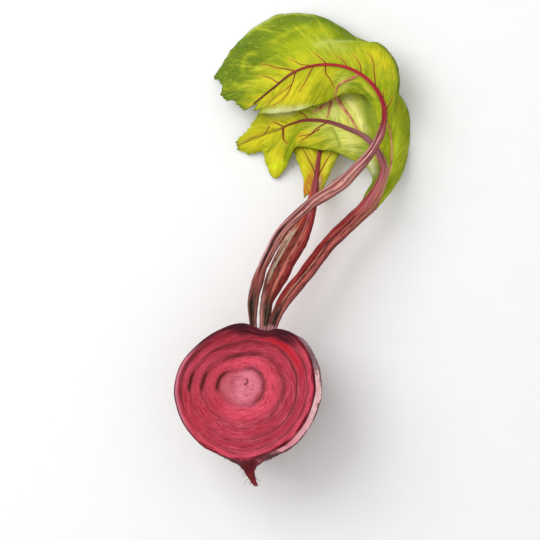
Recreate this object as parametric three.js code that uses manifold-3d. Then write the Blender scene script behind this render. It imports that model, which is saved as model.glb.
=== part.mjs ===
// A beetroot cut lengthwise, with its leaf stalks and leaves, lying on its back with the cut face up.
// Millimetres, +Z up. The origin is the middle of the flat spot on the back that it rests on,
// +Y runs from the root to the leaves, and +X is to the right for someone looking down on the cut face.
import * as THREE from "three";
import { mergeVertices } from "three/addons/utils/BufferGeometryUtils.js";
import Module from "manifold-3d";

const wasm = await Module();
wasm.setup();

const UP = new THREE.Vector3(0, 0, 1);
const { degToRad, lerp } = THREE.MathUtils;

// Root: a squat round body with a hollow in its sloping crown, where the stalks stand, and a trimmed tap root
const ROOT_RADIUS = 38.5;
const AXIS_HEIGHT = 37.3; // a little under the radius, which leaves a flat spot about 17 across
const CUT_OFFSET = 7.7; // the knife passed this far in front of the root's axis
const CROWN_SHIFT = 10; // how far the shoulders draw over to the right, ROOT_RADIUS above the middle
const CROWN_SLOPE = 0.33; // fall of the crown to the right, at the same height
const CROWN_SHARPNESS = 6; // how closely the slope and the hollow keep to the crown
const HOLLOW_DEPTH = 7; // of the hollow, at the same height
const HOLLOW_RADIUS = 6;
const HOLLOW_CENTRE = new THREE.Vector2(9.5, 5); // to the right of the axis, and in front of it
const LEAN = degToRad(8); // the cut face leans this far from level
const LEAN_TOWARDS = degToRad(145); // direction of that lean, from +X
const TAIL_START = -36; // below this height on the axis the tap root begins
const TAIL_BEND = 0.025; // sideways curve of the tap root, per mm of its length squared
// Radius and height on the axis, from the trimmed tip of the tap root to the middle of the crown
const ROOT_PROFILE = [
  [0, -50],
  [1.3, -49.6],
  [2, -45.5],
  [3.4, -41.5],
  [7, -38],
  [14, -34.6],
  [24, -29],
  [33, -18.5],
  [37.8, -6.5],
  [38.5, 3],
  [35.4, 15],
  [27, 25.6],
  [18, 31.5],
  [12, 33.8],
  [6, 34.2],
  [0, 34],
];
const PROFILE_STEPS = 36;
const ROOT_SIDES = 44;
// Soft lobes round the root: their depth as a share of the radius, and their turn per mm of height
const LOBES = [
  { depth: 0.016, count: 3, twist: 0.05, phase: 0 },
  { depth: 0.01, count: 5, twist: 0, phase: 1.3 },
];

// Growth rings: the cut face dips at these radii, and the bands between them stand a little proud
const RING_DIPS = [11, 20.5, 28, 33];
const RING_RELIEF = 0.7;
const RING_CENTRE = new THREE.Vector2(-2, 3); // from the middle of the cut face
const RING_SIDES = 40;
const KNIFE_REACH = 70; // the knife's swept block is larger than the root every way

// Stalks and blades
const CLEARANCE = 0.35; // between a blade and the stalk on it, and between a stalk and the crown
const BLADE_THICKNESS = 0.8;
const STALK_SIDES = 12;
const GROOVE_DEPTH = 0.45; // share of a stalk's height, along its upper side
const GROOVE_SHARPNESS = 8;
const BLADE_ARCH = 0.09; // rise of a blade between rib and edge, as a share of its width
const INNER_RUFFLE = 0.6; // a blade's inner side is ruffled this much as deep as its outer side
const TIP_SHARPNESS = 8; // how closely the bulge and the ragged teeth keep to a blade's tip
const LOWEST_BLADE = 0.45; // middle of a blade's thickness where it lies on the surface
const WELD = 1e-4; // vertices closer than this are one

// Each leaf is a petiole, which carries on as the rib, and a blade between two edges. The edges have
// one point for each point of the rib. Half widths are at shares of the way through a stalk's points.
// The tip bulge is how far the tip swells out between the rib and the outer edge.
const LEAVES = {
  arching_leaf: {
    petiole: [
      [2.5, 27, 36],
      [1.8, 38, 36.5],
      [2.1, 47, 36.5],
      [4.5, 58, 35.5],
      [8.3, 68.4, 34],
      [16.9, 83.9, 32],
      [30.1, 97, 30],
      [45.7, 107.4, 28.5],
      [57, 118, 27.5],
      [65, 128, 27],
    ],
    rib: [
      [70, 140, 27],
      [70, 150, 27.5],
      [66, 159, 28],
      [58, 167, 28],
      [47, 172, 27.5],
      [33, 173, 26],
      [21, 170, 23.5],
      [10, 163, 20],
      [-2, 155, 16],
    ],
    outerEdge: [
      [72, 141, 25],
      [77, 155, 22],
      [77.5, 169, 20],
      [71, 182, 17],
      [54, 191, 12],
      [33, 204, 6],
      [9, 207, 1],
      [-14, 192, 0.5],
      [-25.5, 174.5, 2],
    ],
    innerEdge: [
      [67, 140, 25],
      [64, 150, 22],
      [60, 156, 20.5],
      [52, 159, 19.5],
      [44, 157, 19],
      [34, 153, 18.5],
      [24, 151, 17.5],
      [13, 150, 16],
      [2, 151, 14],
    ],
    halfWidths: [
      [0, 1.9],
      [0.05, 2],
      [0.1, 2.7],
      [0.155, 2.9],
      [0.205, 2.4],
      [0.25, 2.7],
      [0.34, 2.7],
      [0.39, 3.5],
      [0.44, 2.9],
      [0.5, 2.1],
      [0.56, 1.5],
      [0.67, 1],
      [0.83, 0.7],
      [1, 0.4],
    ],
    flatness: 0.8,
    ruffle: { height: 1.6, waves: 5, phase: 0.4 },
    teeth: { depth: 1.8, count: 2 },
    tipBulge: 6.5,
    rings: 56,
    rows: 38,
    columns: 7,
  },
  side_leaf: {
    petiole: [
      [11, 26, 37],
      [13.3, 36, 37],
      [18.7, 47.2, 35],
      [29.7, 62.2, 31],
      [40.6, 77.3, 27],
      [51.9, 89.1, 23.5],
    ],
    rib: [
      [60.5, 97.6, 21],
      [66, 107, 19],
      [69, 117, 18],
      [66, 126, 17],
      [59, 135, 16],
      [48, 141, 15],
      [37, 145, 14],
      [25, 146, 13],
      [20, 145, 12],
      [16, 144, 11],
      [12, 142.5, 10],
      [8, 141.5, 9],
      [4, 140.5, 8],
      [-3, 138.5, 6],
      [-13, 135.5, 3.5],
    ],
    outerEdge: [
      [64, 96, 16],
      [72, 107, 11],
      [78, 119, 5],
      [80.5, 134, 1],
      [80, 152, 0.5],
      [70, 166, 3],
      [51, 167, 7],
      [32, 162, 9],
      [23, 158, 9],
      [14, 155, 9],
      [7, 153, 8.5],
      [-1, 151, 7.5],
      [-5, 146, 6],
      [-10, 141, 4],
      [-14, 137.5, 2.5],
    ],
    innerEdge: [
      [55, 98, 16],
      [59, 106, 14],
      [62, 113, 13],
      [58, 121, 12],
      [51, 124, 12],
      [43, 128, 12.5],
      [33, 130, 12.5],
      [21, 132, 10],
      [17, 127, 7],
      [13, 121, 3.5],
      [8, 117, 1],
      [3, 122, 1],
      [1, 131, 2],
      [-6, 130, 1.5],
      [-13, 133, 1],
    ],
    halfWidths: [
      [0, 2.2],
      [0.045, 2.5],
      [0.075, 2.9],
      [0.1, 3.5],
      [0.15, 3.8],
      [0.25, 3.8],
      [0.3, 4.1],
      [0.34, 3.2],
      [0.4, 2.1],
      [0.54, 1.2],
      [0.71, 0.5],
      [1, 0.4],
    ],
    flatness: 0.75,
    ruffle: { height: 1.3, waves: 6, phase: 1.2 },
    teeth: { depth: 1.4, count: 2 },
    tipBulge: 0,
    rings: 56,
    rows: 48,
    columns: 6,
  },
  middle_leaf: {
    petiole: [
      [7.3, 27, 34],
      [7.6, 37, 34],
      [8.7, 47.4, 32],
      [12.9, 59.9, 28.5],
      [18.8, 72.9, 25],
      [24.4, 84.2, 21.5],
      [29.2, 97, 18],
    ],
    rib: [
      [31, 107, 15.5],
      [32, 116, 13],
      [33, 127, 10],
      [34, 140, 7],
      [36, 153, 5],
      [38, 164, 3.5],
    ],
    outerEdge: [
      [35, 107, 12.5],
      [39, 118, 10],
      [44, 129, 7],
      [48, 141, 4],
      [48, 153, 1.5],
      [43, 164, 0.5],
    ],
    innerEdge: [
      [25, 104, 12.5],
      [24.5, 115, 10],
      [20, 127, 7],
      [17, 138, 4],
      [20, 152, 1.5],
      [31, 164, 0.5],
    ],
    halfWidths: [
      [0, 2.3],
      [0.07, 2.5],
      [0.11, 3.1],
      [0.16, 3.2],
      [0.2, 4.1],
      [0.25, 5.5],
      [0.38, 5.9],
      [0.43, 4.8],
      [0.52, 2.9],
      [0.65, 1.3],
      [1, 0.4],
    ],
    flatness: 0.5,
    ruffle: { height: 1, waves: 3, phase: 0 },
    teeth: { depth: 1.2, count: 1 },
    tipBulge: 0,
    rings: 38,
    rows: 20,
    columns: 4,
  },
};

const FLESH_RED = new THREE.MeshStandardMaterial({ color: "#b83a50", roughness: 0.45, metalness: 0 });
const STALK_RED = new THREE.MeshStandardMaterial({ color: "#944040", roughness: 0.5, metalness: 0 });
const LEAF_GREEN = new THREE.MeshStandardMaterial({ color: "#a4b22c", roughness: 0.6, metalness: 0 });

// Meshes, and solids for cutting

function solidOf(geometry) {
  const bare = new THREE.BufferGeometry();
  bare.setAttribute("position", geometry.getAttribute("position"));
  bare.setIndex(geometry.index);
  const merged = mergeVertices(bare, WELD);
  const corners = merged.index.array;
  const kept = [];
  for (let i = 0; i < corners.length; i += 3) {
    const [a, b, c] = corners.slice(i, i + 3);
    if (a !== b && b !== c && c !== a) {
      kept.push(a, b, c); // triangles that close up at a pole are dropped
    }
  }
  const vertProperties = merged.getAttribute("position").array;
  const triVerts = Uint32Array.from(kept);
  return new wasm.Manifold(new wasm.Mesh({ numProp: 3, vertProperties, triVerts }));
}

function geometryOf(solid) {
  const { vertProperties, triVerts } = solid.getMesh();
  const geometry = new THREE.BufferGeometry();
  geometry.setAttribute("position", new THREE.BufferAttribute(vertProperties, 3));
  geometry.setIndex(new THREE.BufferAttribute(triVerts, 1));
  geometry.computeVertexNormals();
  return geometry;
}

function indexedGeometry(positions, corners) {
  const geometry = new THREE.BufferGeometry();
  geometry.setAttribute("position", new THREE.Float32BufferAttribute(positions, 3));
  geometry.setIndex(corners);
  return geometry;
}

function moveVertices(geometry, move) {
  const position = geometry.getAttribute("position");
  const point = new THREE.Vector3();
  for (let i = 0; i < position.count; i++) {
    point.fromBufferAttribute(position, i);
    move(point);
    position.setXYZ(i, point.x, point.y, point.z);
  }
  return geometry;
}

// Root

// Takes what is modelled on the root's axis to where the root lies
function layDown(geometry) {
  const leanAxis = new THREE.Vector3(-Math.sin(LEAN_TOWARDS), Math.cos(LEAN_TOWARDS), 0);
  geometry.applyMatrix4(new THREE.Matrix4().makeRotationAxis(leanAxis, LEAN));
  return geometry.translate(0, 0, AXIS_HEIGHT);
}

// The whole root before it was cut, larger all round by grow
function wholeRoot(grow) {
  const outline = new THREE.SplineCurve(ROOT_PROFILE.map(([r, h]) => new THREE.Vector2(r, h)));
  const profile = outline.getPoints(PROFILE_STEPS);
  const geometry = new THREE.LatheGeometry(profile, ROOT_SIDES);
  moveVertices(geometry, (point) => {
    const around = Math.atan2(point.x, point.z);
    let swell = 1;
    for (const { depth, count, twist, phase } of LOBES) {
      swell += depth * Math.sin(count * around + twist * point.y + phase);
    }
    const tail = Math.max(0, TAIL_START - point.y);
    const shoulder = Math.max(0, point.y) / ROOT_RADIUS;
    point.x = point.x * swell + TAIL_BEND * tail ** 2 + CROWN_SHIFT * shoulder ** 3;
    point.z = point.z * swell;
    const fromHollow = Math.hypot(point.x - HOLLOW_CENTRE.x, point.z - HOLLOW_CENTRE.y);
    const hollow = HOLLOW_DEPTH * Math.exp(-((fromHollow / HOLLOW_RADIUS) ** 2));
    point.y -= (CROWN_SLOPE * point.x + hollow) * shoulder ** CROWN_SHARPNESS;
    point.multiplyScalar(1 + grow / ROOT_RADIUS);
  });
  return solidOf(layDown(geometry));
}

// What the knife took away, with the rings' relief on its underside
function knifeBlock() {
  const crest = CUT_OFFSET + RING_RELIEF / 2;
  const dip = CUT_OFFSET - RING_RELIEF / 2;
  const profile = [new THREE.Vector2(0, crest)];
  RING_DIPS.forEach((radius, i) => {
    const next = RING_DIPS[i + 1] ?? ROOT_RADIUS;
    profile.push(new THREE.Vector2(radius, dip));
    profile.push(new THREE.Vector2((radius + next) / 2, crest));
  });
  profile.push(new THREE.Vector2(KNIFE_REACH, CUT_OFFSET));
  profile.push(new THREE.Vector2(KNIFE_REACH, KNIFE_REACH));
  profile.push(new THREE.Vector2(0, KNIFE_REACH));
  const geometry = new THREE.LatheGeometry(profile, RING_SIDES);
  geometry.rotateX(Math.PI / 2);
  moveVertices(geometry, (point) => {
    const inward = Math.max(0, 1 - Math.hypot(point.x, point.y) / ROOT_RADIUS);
    point.x += RING_CENTRE.x * inward;
    point.y += RING_CENTRE.y * inward;
  });
  return solidOf(layDown(geometry));
}

function beetHalf() {
  const below = new THREE.BoxGeometry(2 * KNIFE_REACH, 2 * KNIFE_REACH, KNIFE_REACH);
  below.translate(0, 0, -KNIFE_REACH / 2);
  const half = wholeRoot(0).subtract(knifeBlock()).subtract(solidOf(below));
  return geometryOf(half);
}

// Stalks

function curveThrough(points) {
  return new THREE.CatmullRomCurve3(points.map((p) => new THREE.Vector3(...p)));
}

// Direction along the path, sideways to the right of it, and up from it
function frameOn(path, t) {
  const along = path.getTangent(t);
  const aside = new THREE.Vector3().crossVectors(along, UP).normalize();
  const above = new THREE.Vector3().crossVectors(aside, along);
  return { point: path.getPoint(t), along, aside, above };
}

function halfWidthAt(stops, t) {
  const next = Math.max(1, stops.findIndex(([share]) => share >= t));
  const [t0, w0] = stops[next - 1];
  const [t1, w1] = stops[next];
  return lerp(w0, w1, (t - t0) / (t1 - t0));
}

function stalkPath(leaf) {
  return curveThrough([...leaf.petiole, ...leaf.rib]);
}

// A tapering tube with a groove along its upper side
function stalkGeometry(leaf) {
  const path = stalkPath(leaf);
  const positions = [];
  const corners = [];
  for (let i = 0; i <= leaf.rings; i++) {
    const t = i / leaf.rings;
    const { point, aside, above } = frameOn(path, t);
    const half = halfWidthAt(leaf.halfWidths, t);
    for (let k = 0; k < STALK_SIDES; k++) {
      const angle = (2 * Math.PI * k) / STALK_SIDES;
      const rise = Math.sin(angle);
      const groove = GROOVE_DEPTH * Math.max(0, rise) ** GROOVE_SHARPNESS;
      const corner = point
        .clone()
        .addScaledVector(aside, half * Math.cos(angle))
        .addScaledVector(above, half * leaf.flatness * (rise - groove));
      positions.push(corner.x, corner.y, corner.z);
    }
  }
  for (let i = 0; i < leaf.rings; i++) {
    for (let k = 0; k < STALK_SIDES; k++) {
      const a = i * STALK_SIDES + k;
      const b = i * STALK_SIDES + ((k + 1) % STALK_SIDES);
      corners.push(a, b + STALK_SIDES, b, a, a + STALK_SIDES, b + STALK_SIDES);
    }
  }
  const ends = [
    { t: 0, first: 0, facesBack: true },
    { t: 1, first: leaf.rings * STALK_SIDES, facesBack: false },
  ];
  for (const { t, first, facesBack } of ends) {
    const middle = positions.length / 3;
    const { x, y, z } = path.getPoint(t);
    positions.push(x, y, z);
    for (let k = 0; k < STALK_SIDES; k++) {
      const a = first + k;
      const b = first + ((k + 1) % STALK_SIDES);
      corners.push(middle, facesBack ? a : b, facesBack ? b : a);
    }
  }
  return indexedGeometry(positions, corners);
}

// Blades

// A point of the blade's middle surface: u from base to tip, v from -1 at the inner edge to 1 at the outer
function bladePoint(leaf, curves, u, v) {
  const t = lerp(curves.ribStart, 1, u);
  const { point, along, above } = frameOn(curves.path, t);
  const stalkHeight = halfWidthAt(leaf.halfWidths, t) * leaf.flatness;
  point.addScaledVector(above, -(stalkHeight + CLEARANCE + BLADE_THICKNESS / 2));
  const edge = (v < 0 ? curves.inner : curves.outer).getPoint(u);
  const out = Math.abs(v);
  const reach = point.distanceTo(edge);
  point.lerp(edge, out);
  const { height, waves, phase } = leaf.ruffle;
  const swing = height * (v < 0 ? INNER_RUFFLE : 1) * out ** 2 * Math.sin(Math.PI * u);
  const wave = swing * Math.sin(2 * Math.PI * waves * u + phase + v);
  const arch = BLADE_ARCH * reach * 4 * out ** 1.5 * (1 - out);
  point.addScaledVector(above, arch + wave);
  const { depth, count } = leaf.teeth;
  const bulge = v > 0 ? leaf.tipBulge * 2 * Math.sqrt(v * (1 - v)) : 0;
  point.addScaledVector(along, u ** TIP_SHARPNESS * (bulge + depth * Math.cos(2 * Math.PI * count * v)));
  point.z = Math.max(point.z, LOWEST_BLADE);
  return point;
}

// A thin sheet of even thickness, with its triangles alike on both faces
function bladeGeometry(leaf) {
  const curves = {
    path: stalkPath(leaf),
    outer: curveThrough(leaf.outerEdge),
    inner: curveThrough(leaf.innerEdge),
    ribStart: leaf.petiole.length / (leaf.petiole.length + leaf.rib.length - 1),
  };
  const across = 2 * leaf.columns;
  const grid = [];
  for (let i = 0; i <= leaf.rows; i++) {
    for (let j = 0; j <= across; j++) {
      grid.push(bladePoint(leaf, curves, i / leaf.rows, j / leaf.columns - 1));
    }
  }
  const at = (i, j) => i * (across + 1) + j;
  const positions = [];
  for (const side of [0.5, -0.5]) {
    for (let i = 0; i <= leaf.rows; i++) {
      for (let j = 0; j <= across; j++) {
        const before = grid[at(Math.max(0, i - 1), j)];
        const after = grid[at(Math.min(leaf.rows, i + 1), j)];
        const left = grid[at(i, Math.max(0, j - 1))];
        const right = grid[at(i, Math.min(across, j + 1))];
        const normal = new THREE.Vector3()
          .subVectors(right, left)
          .cross(after.clone().sub(before))
          .normalize();
        const { x, y, z } = grid[at(i, j)].clone().addScaledVector(normal, side * BLADE_THICKNESS);
        positions.push(x, y, z);
      }
    }
  }
  const under = grid.length;
  const corners = [];
  for (let i = 0; i < leaf.rows; i++) {
    for (let j = 0; j < across; j++) {
      const [a, b, c, d] = [at(i, j), at(i, j + 1), at(i + 1, j + 1), at(i + 1, j)];
      corners.push(a, b, c, a, c, d);
      corners.push(under + a, under + c, under + b, under + a, under + d, under + c);
    }
  }
  const rim = [];
  for (let j = 0; j < across; j++) {
    rim.push(at(0, j));
  }
  for (let i = 0; i < leaf.rows; i++) {
    rim.push(at(i, across));
  }
  for (let j = across; j > 0; j--) {
    rim.push(at(leaf.rows, j));
  }
  for (let i = leaf.rows; i > 0; i--) {
    rim.push(at(i, 0));
  }
  rim.forEach((a, n) => {
    const b = rim[(n + 1) % rim.length];
    corners.push(b, a, under + a, b, under + a, under + b);
  });
  return indexedGeometry(positions, corners);
}

// Assembly

function addMesh(group, name, geometry, material) {
  const mesh = new THREE.Mesh(geometry, material);
  mesh.name = name;
  group.add(mesh);
}

const beetroot = new THREE.Group();
beetroot.name = "beetroot";
addMesh(beetroot, "beet_half", beetHalf(), FLESH_RED);
const crownSeat = wholeRoot(CLEARANCE);
for (const [name, leaf] of Object.entries(LEAVES)) {
  const stalk = solidOf(stalkGeometry(leaf)).subtract(crownSeat);
  addMesh(beetroot, name + "_stalk", geometryOf(stalk), STALK_RED);
  addMesh(beetroot, name + "_blade", bladeGeometry(leaf), LEAF_GREEN);
}

export default beetroot;
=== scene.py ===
import math

import bpy
import numpy as np
from mathutils import Matrix, Vector


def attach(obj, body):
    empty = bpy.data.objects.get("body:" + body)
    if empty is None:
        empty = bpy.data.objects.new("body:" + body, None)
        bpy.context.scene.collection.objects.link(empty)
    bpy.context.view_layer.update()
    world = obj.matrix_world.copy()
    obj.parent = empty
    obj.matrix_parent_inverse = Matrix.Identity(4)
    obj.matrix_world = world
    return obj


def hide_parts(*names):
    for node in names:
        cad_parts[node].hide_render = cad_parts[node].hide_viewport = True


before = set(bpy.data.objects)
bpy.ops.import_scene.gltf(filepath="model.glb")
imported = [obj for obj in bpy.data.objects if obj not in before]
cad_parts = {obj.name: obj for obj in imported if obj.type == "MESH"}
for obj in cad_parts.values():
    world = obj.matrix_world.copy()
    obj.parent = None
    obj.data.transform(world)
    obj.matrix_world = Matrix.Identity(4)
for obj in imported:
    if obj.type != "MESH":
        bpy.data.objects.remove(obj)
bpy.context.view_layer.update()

mm = 0.001  # sizes below are in millimetres, Blender's are in metres
print("frame:", ", ".join(sorted(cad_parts)))


# colours are noted as screen values, 0 to 255
def tone(red, green, blue):
    shares = (red / 255, green / 255, blue / 255)
    return tuple(((c + 0.055) / 1.055) ** 2.4 if c > 0.04 else c / 12.92 for c in shares) + (1.0,)


def ease(x, low, high):
    share = np.clip((np.asarray(x, float) - low) / (high - low), 0, 1)
    return share * share * (3 - 2 * share)


def unit(v):
    return v / np.maximum(np.linalg.norm(v, axis=-1, keepdims=True), 1e-9)


# smooth noise between -1 and 1: waves of one length in many directions
def ripple(points, waveLength, seed, waves=9):
    dice = np.random.default_rng(seed)
    total = np.zeros(points.shape[:-1])
    for _ in range(waves):
        direction = unit(dice.normal(size=3)) * (2 * np.pi / waveLength) * dice.uniform(0.7, 1.4)
        total += np.sin(points @ direction + dice.uniform(0, 2 * np.pi))
    return total / math.sqrt(waves)


# layers of smooth noise, each with its height, wave length and seed
def layered(points, layers):
    return sum(height * ripple(points, length, seed) for height, length, seed in layers)


# bell curve: 1 at its middle, 0.37 one width away
def bell(x, middle, width):
    return np.exp(-(((x - middle) / width) ** 2))


# 1 between two angles or shares, fading at both ends
def window(x, low, high, soft):
    return ease(x, low - soft, low + soft) * (1 - ease(x, high - soft, high + soft))


# a smooth curve through given points, read at shares from 0 to 1
def curveThrough(points):
    p = np.array(points, float)
    padded = np.vstack([2 * p[0] - p[1], p, 2 * p[-1] - p[-2]])

    def stride(a, b):
        return ((a - b) ** 2).sum(-1, keepdims=True) ** 0.25

    def at(share):
        place = np.clip(np.asarray(share, float), 0, 1) * (len(p) - 1)
        k = np.minimum(place.astype(int), len(p) - 2)
        w = (place - k)[..., None]
        p0, p1, p2, p3 = (padded[k + n] for n in range(4))
        d0, d1, d2 = stride(p0, p1), stride(p1, p2), stride(p2, p3)
        m1 = ((p1 - p0) / d0 - (p2 - p0) / (d0 + d1) + (p2 - p1) / d1) * d1
        m2 = ((p2 - p1) / d1 - (p3 - p1) / (d1 + d2) + (p3 - p2) / d2) * d1
        return p1 + w * m1 + w**2 * (3 * (p2 - p1) - 2 * m1 - m2) + w**3 * (2 * (p1 - p2) + m1 + m2)

    return at


# gap from each point to the nearest of some samples, and which one that is
def nearestGap(points, samples, batch=4000):
    flat = points.reshape(-1, points.shape[-1])
    gap, pick = np.empty(len(flat)), np.empty(len(flat), int)
    for start in range(0, len(flat), batch):
        part = slice(start, start + batch)
        apart = ((flat[part, None] - samples[None]) ** 2).sum(-1)
        pick[part] = apart.argmin(1)
        gap[part] = np.sqrt(apart.min(1))
    return gap.reshape(points.shape[:-1]), pick.reshape(points.shape[:-1])


# merges vertices that share a place and turns pinched quads into triangles
def weld(points, faces, attributes, gap=1e-4):
    keys = np.round(points / gap).astype(np.int64)
    _, first, where = np.unique(keys, axis=0, return_index=True, return_inverse=True)
    where = where.ravel()
    kept = []
    for face in where[np.asarray(faces)].tolist():
        corners = [c for n, c in enumerate(face) if c != face[n - 1]]
        if len(set(corners)) == len(corners) > 2:
            kept.append(corners)
    return points[first], kept, {name: values[first] for name, values in attributes.items()}


# pattern values of a mesh, as point attributes
def addPatterns(mesh, attributes):
    for key, values in attributes.items():
        values = np.asarray(values, np.float32)
        kind, field = ("FLOAT_VECTOR", "vector") if values.ndim == 2 else ("FLOAT", "value")
        mesh.attributes.new(key, kind, "POINT").data.foreach_set(field, values.ravel())


def addToScene(name, mesh):
    piece = bpy.data.objects.new(name, mesh)
    bpy.context.scene.collection.objects.link(piece)
    return piece


# a plain mesh object, with its place in its mesh
def buildPiece(name, points, faces, attributes, finishes, finishOf=None):
    mesh = bpy.data.meshes.new(name)
    mesh.from_pydata((points * mm).tolist(), [], faces)
    addPatterns(mesh, attributes)
    for finish in finishes:
        mesh.materials.append(finish)
    if finishOf is not None:
        mesh.polygons.foreach_set("material_index", finishOf(mesh))
    mesh.polygons.foreach_set("use_smooth", np.ones(len(mesh.polygons), bool))
    mesh.update()
    return addToScene(name, mesh)


def gridFaces(rows, columns, offset=0):
    i, j = np.meshgrid(np.arange(rows - 1), np.arange(columns - 1), indexing="ij")
    a = (i * columns + j + offset).ravel()
    return np.stack([a, a + 1, a + 1 + columns, a + columns], -1)


# short words for the shader nodes that every finish uses
class Finish:
    def __init__(self, name, roughness, specular):
        self.material = bpy.data.materials.new(name)
        self.material.use_nodes = True
        self.tree = self.material.node_tree
        self.shader = self.tree.nodes["Principled BSDF"]
        self.shader.inputs["Roughness"].default_value = roughness
        self.shader.inputs["Specular IOR Level"].default_value = specular

    def node(self, kind, inputs=(), **settings):
        made = self.tree.nodes.new(kind)
        for key, value in settings.items():
            setattr(made, key, value)
        for key, value in dict(inputs).items():
            self.feed(made.inputs[key], value)
        return made

    def feed(self, socket, value):
        if isinstance(value, bpy.types.NodeSocket):
            self.tree.links.new(value, socket)
        else:
            socket.default_value = value

    def place(self):
        return self.node("ShaderNodeTexCoord").outputs["Object"]

    def attribute(self, name, vector=False):
        made = self.node("ShaderNodeAttribute", attribute_name=name)
        return made.outputs["Vector" if vector else "Fac"]

    def stretch(self, vector, scale):
        return self.node("ShaderNodeMapping", {"Vector": vector, "Scale": scale}).outputs["Vector"]

    def noise(self, vector, scale, detail=3.0, roughness=0.55, distortion=0.0):
        inputs = {"Vector": vector, "Scale": scale, "Detail": detail}
        inputs.update({"Roughness": roughness, "Distortion": distortion})
        return self.node("ShaderNodeTexNoise", inputs).outputs["Fac"]

    def cells(self, vector, scale):
        inputs = {"Vector": vector, "Scale": scale}
        return self.node("ShaderNodeTexVoronoi", inputs, feature="DISTANCE_TO_EDGE").outputs["Distance"]

    def sums(self, operation, a, b):
        made = self.node("ShaderNodeMath", operation=operation)
        self.feed(made.inputs[0], a)
        self.feed(made.inputs[1], b)
        return made.outputs[0]

    def total(self, a, b):
        return self.sums("ADD", a, b)

    def product(self, a, b):
        return self.sums("MULTIPLY", a, b)

    def span(self, value, low, high, outLow=0.0, outHigh=1.0):
        inputs = {"Value": value, "From Min": low, "From Max": high, "To Min": outLow, "To Max": outHigh}
        return self.node("ShaderNodeMapRange", inputs, interpolation_type="SMOOTHSTEP").outputs["Result"]

    def mix(self, share, a, b, blend="MIX"):
        made = self.node("ShaderNodeMix", data_type="RGBA", blend_type=blend)
        colours = [s for s in made.inputs if s.type == "RGBA"]
        self.feed(made.inputs[0], share)
        self.feed(colours[0], a)
        self.feed(colours[1], b)
        return [s for s in made.outputs if s.type == "RGBA"][0]

    # lays a shade over a colour as strongly as a pattern says, within a mask
    def lay(self, colour, pattern, reach, strength, shade, within=None, blend="MIX"):
        share = self.span(pattern, *reach, *strength)
        if within is not None:
            share = self.product(share, within)
        return self.mix(share, colour, shade, blend)

    # lays a shade over a colour where a pattern value of the mesh marks it
    def mark(self, colour, name, strength, shade):
        return self.mix(self.product(self.attribute(name), strength), colour, shade)

    def ramp(self, value, stops):
        made = self.node("ShaderNodeValToRGB", {"Fac": value})
        marks = made.color_ramp.elements
        while len(marks) < len(stops):
            marks.new(0.5)
        for mark, (place, colour) in zip(marks, stops):
            mark.position = place
            mark.color = colour
        return made.outputs["Color"]

    def bump(self, height, distance, strength=1.0, normal=None):
        inputs = {"Height": height, "Distance": distance, "Strength": strength}
        if normal is not None:
            inputs["Normal"] = normal
        return self.node("ShaderNodeBump", inputs).outputs["Normal"]

    def done(self, colour, roughness=None, normal=None):
        self.feed(self.shader.inputs["Base Color"], colour)
        if roughness is not None:
            self.feed(self.shader.inputs["Roughness"], roughness)
        if normal is not None:
            self.feed(self.shader.inputs["Normal"], normal)
        return self.material


# camera looks down on the cut face, a little from the right and from the root's end
view = {
    "aim": (12.03, 61.95, 42.76),
    "towardsCamera": (0.17031, -0.11925, 0.97815),
    "distance": 1200,
    "lens": 153.8,
}


def placeCamera():
    back = Vector(view["towardsCamera"]).normalized()
    right = Vector((0, 1, 0)).cross(back).normalized()
    upward = back.cross(right)
    camera = addToScene("camera", bpy.data.cameras.new("camera"))
    camera.data.lens = view["lens"]
    turn = Matrix((right, upward, back)).transposed().to_4x4()
    camera.matrix_world = Matrix.Translation((Vector(view["aim"]) + back * view["distance"]) * mm) @ turn
    bpy.context.scene.camera = camera


# pale floor, one large soft light from the upper left, and even light from all round
studio = {
    "floorSize": 8.0,
    "floorDrop": 1e-4,
    "floorColour": tone(254, 254, 253),
    "floorGrain": tone(249, 249, 248),
    "skyColour": (1.0, 1.0, 1.0, 1.0),
    "skyStrength": 0.7,
    "lampAim": (0.02, 0.06, 0.02),
    "lampFrom": (-0.52, 0.42, 0.75),
    "lampDistance": 1.1,
    "lampSize": 0.9,
    "lampPower": 6.6,
}


def lightStudio():
    scene = bpy.context.scene
    scene.view_settings.view_transform = "Standard"
    half, low = studio["floorSize"] / 2, -studio["floorDrop"]
    corners = [(-half, -half, low), (half, -half, low), (half, half, low), (-half, half, low)]
    floorMesh = bpy.data.meshes.new("floor")
    floorMesh.from_pydata(corners, [], [(0, 1, 2, 3)])
    paper = Finish("palePaper", 0.85, 0.15)
    grain = paper.noise(paper.place(), 60.0, 4.0)
    shaded = paper.mix(grain, studio["floorColour"], studio["floorGrain"])
    floorMesh.materials.append(paper.done(shaded))
    floor = addToScene("floor", floorMesh)
    scene.world = scene.world or bpy.data.worlds.new("sky")
    scene.world.use_nodes = True
    sky = scene.world.node_tree.nodes["Background"]
    sky.inputs["Color"].default_value = studio["skyColour"]
    sky.inputs["Strength"].default_value = studio["skyStrength"]
    lampData = bpy.data.lights.new("windowLight", "AREA")
    lampData.size = studio["lampSize"]
    lampData.energy = studio["lampPower"]
    lamp = addToScene("windowLight", lampData)
    outward = Vector(studio["lampFrom"]).normalized()
    lamp.location = Vector(studio["lampAim"]) + outward * studio["lampDistance"]
    lamp.rotation_mode = "QUATERNION"
    lamp.rotation_quaternion = outward.to_track_quat("Z", "Y")


placeCamera()
lightStudio()
print("camera and studio light placed")


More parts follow.
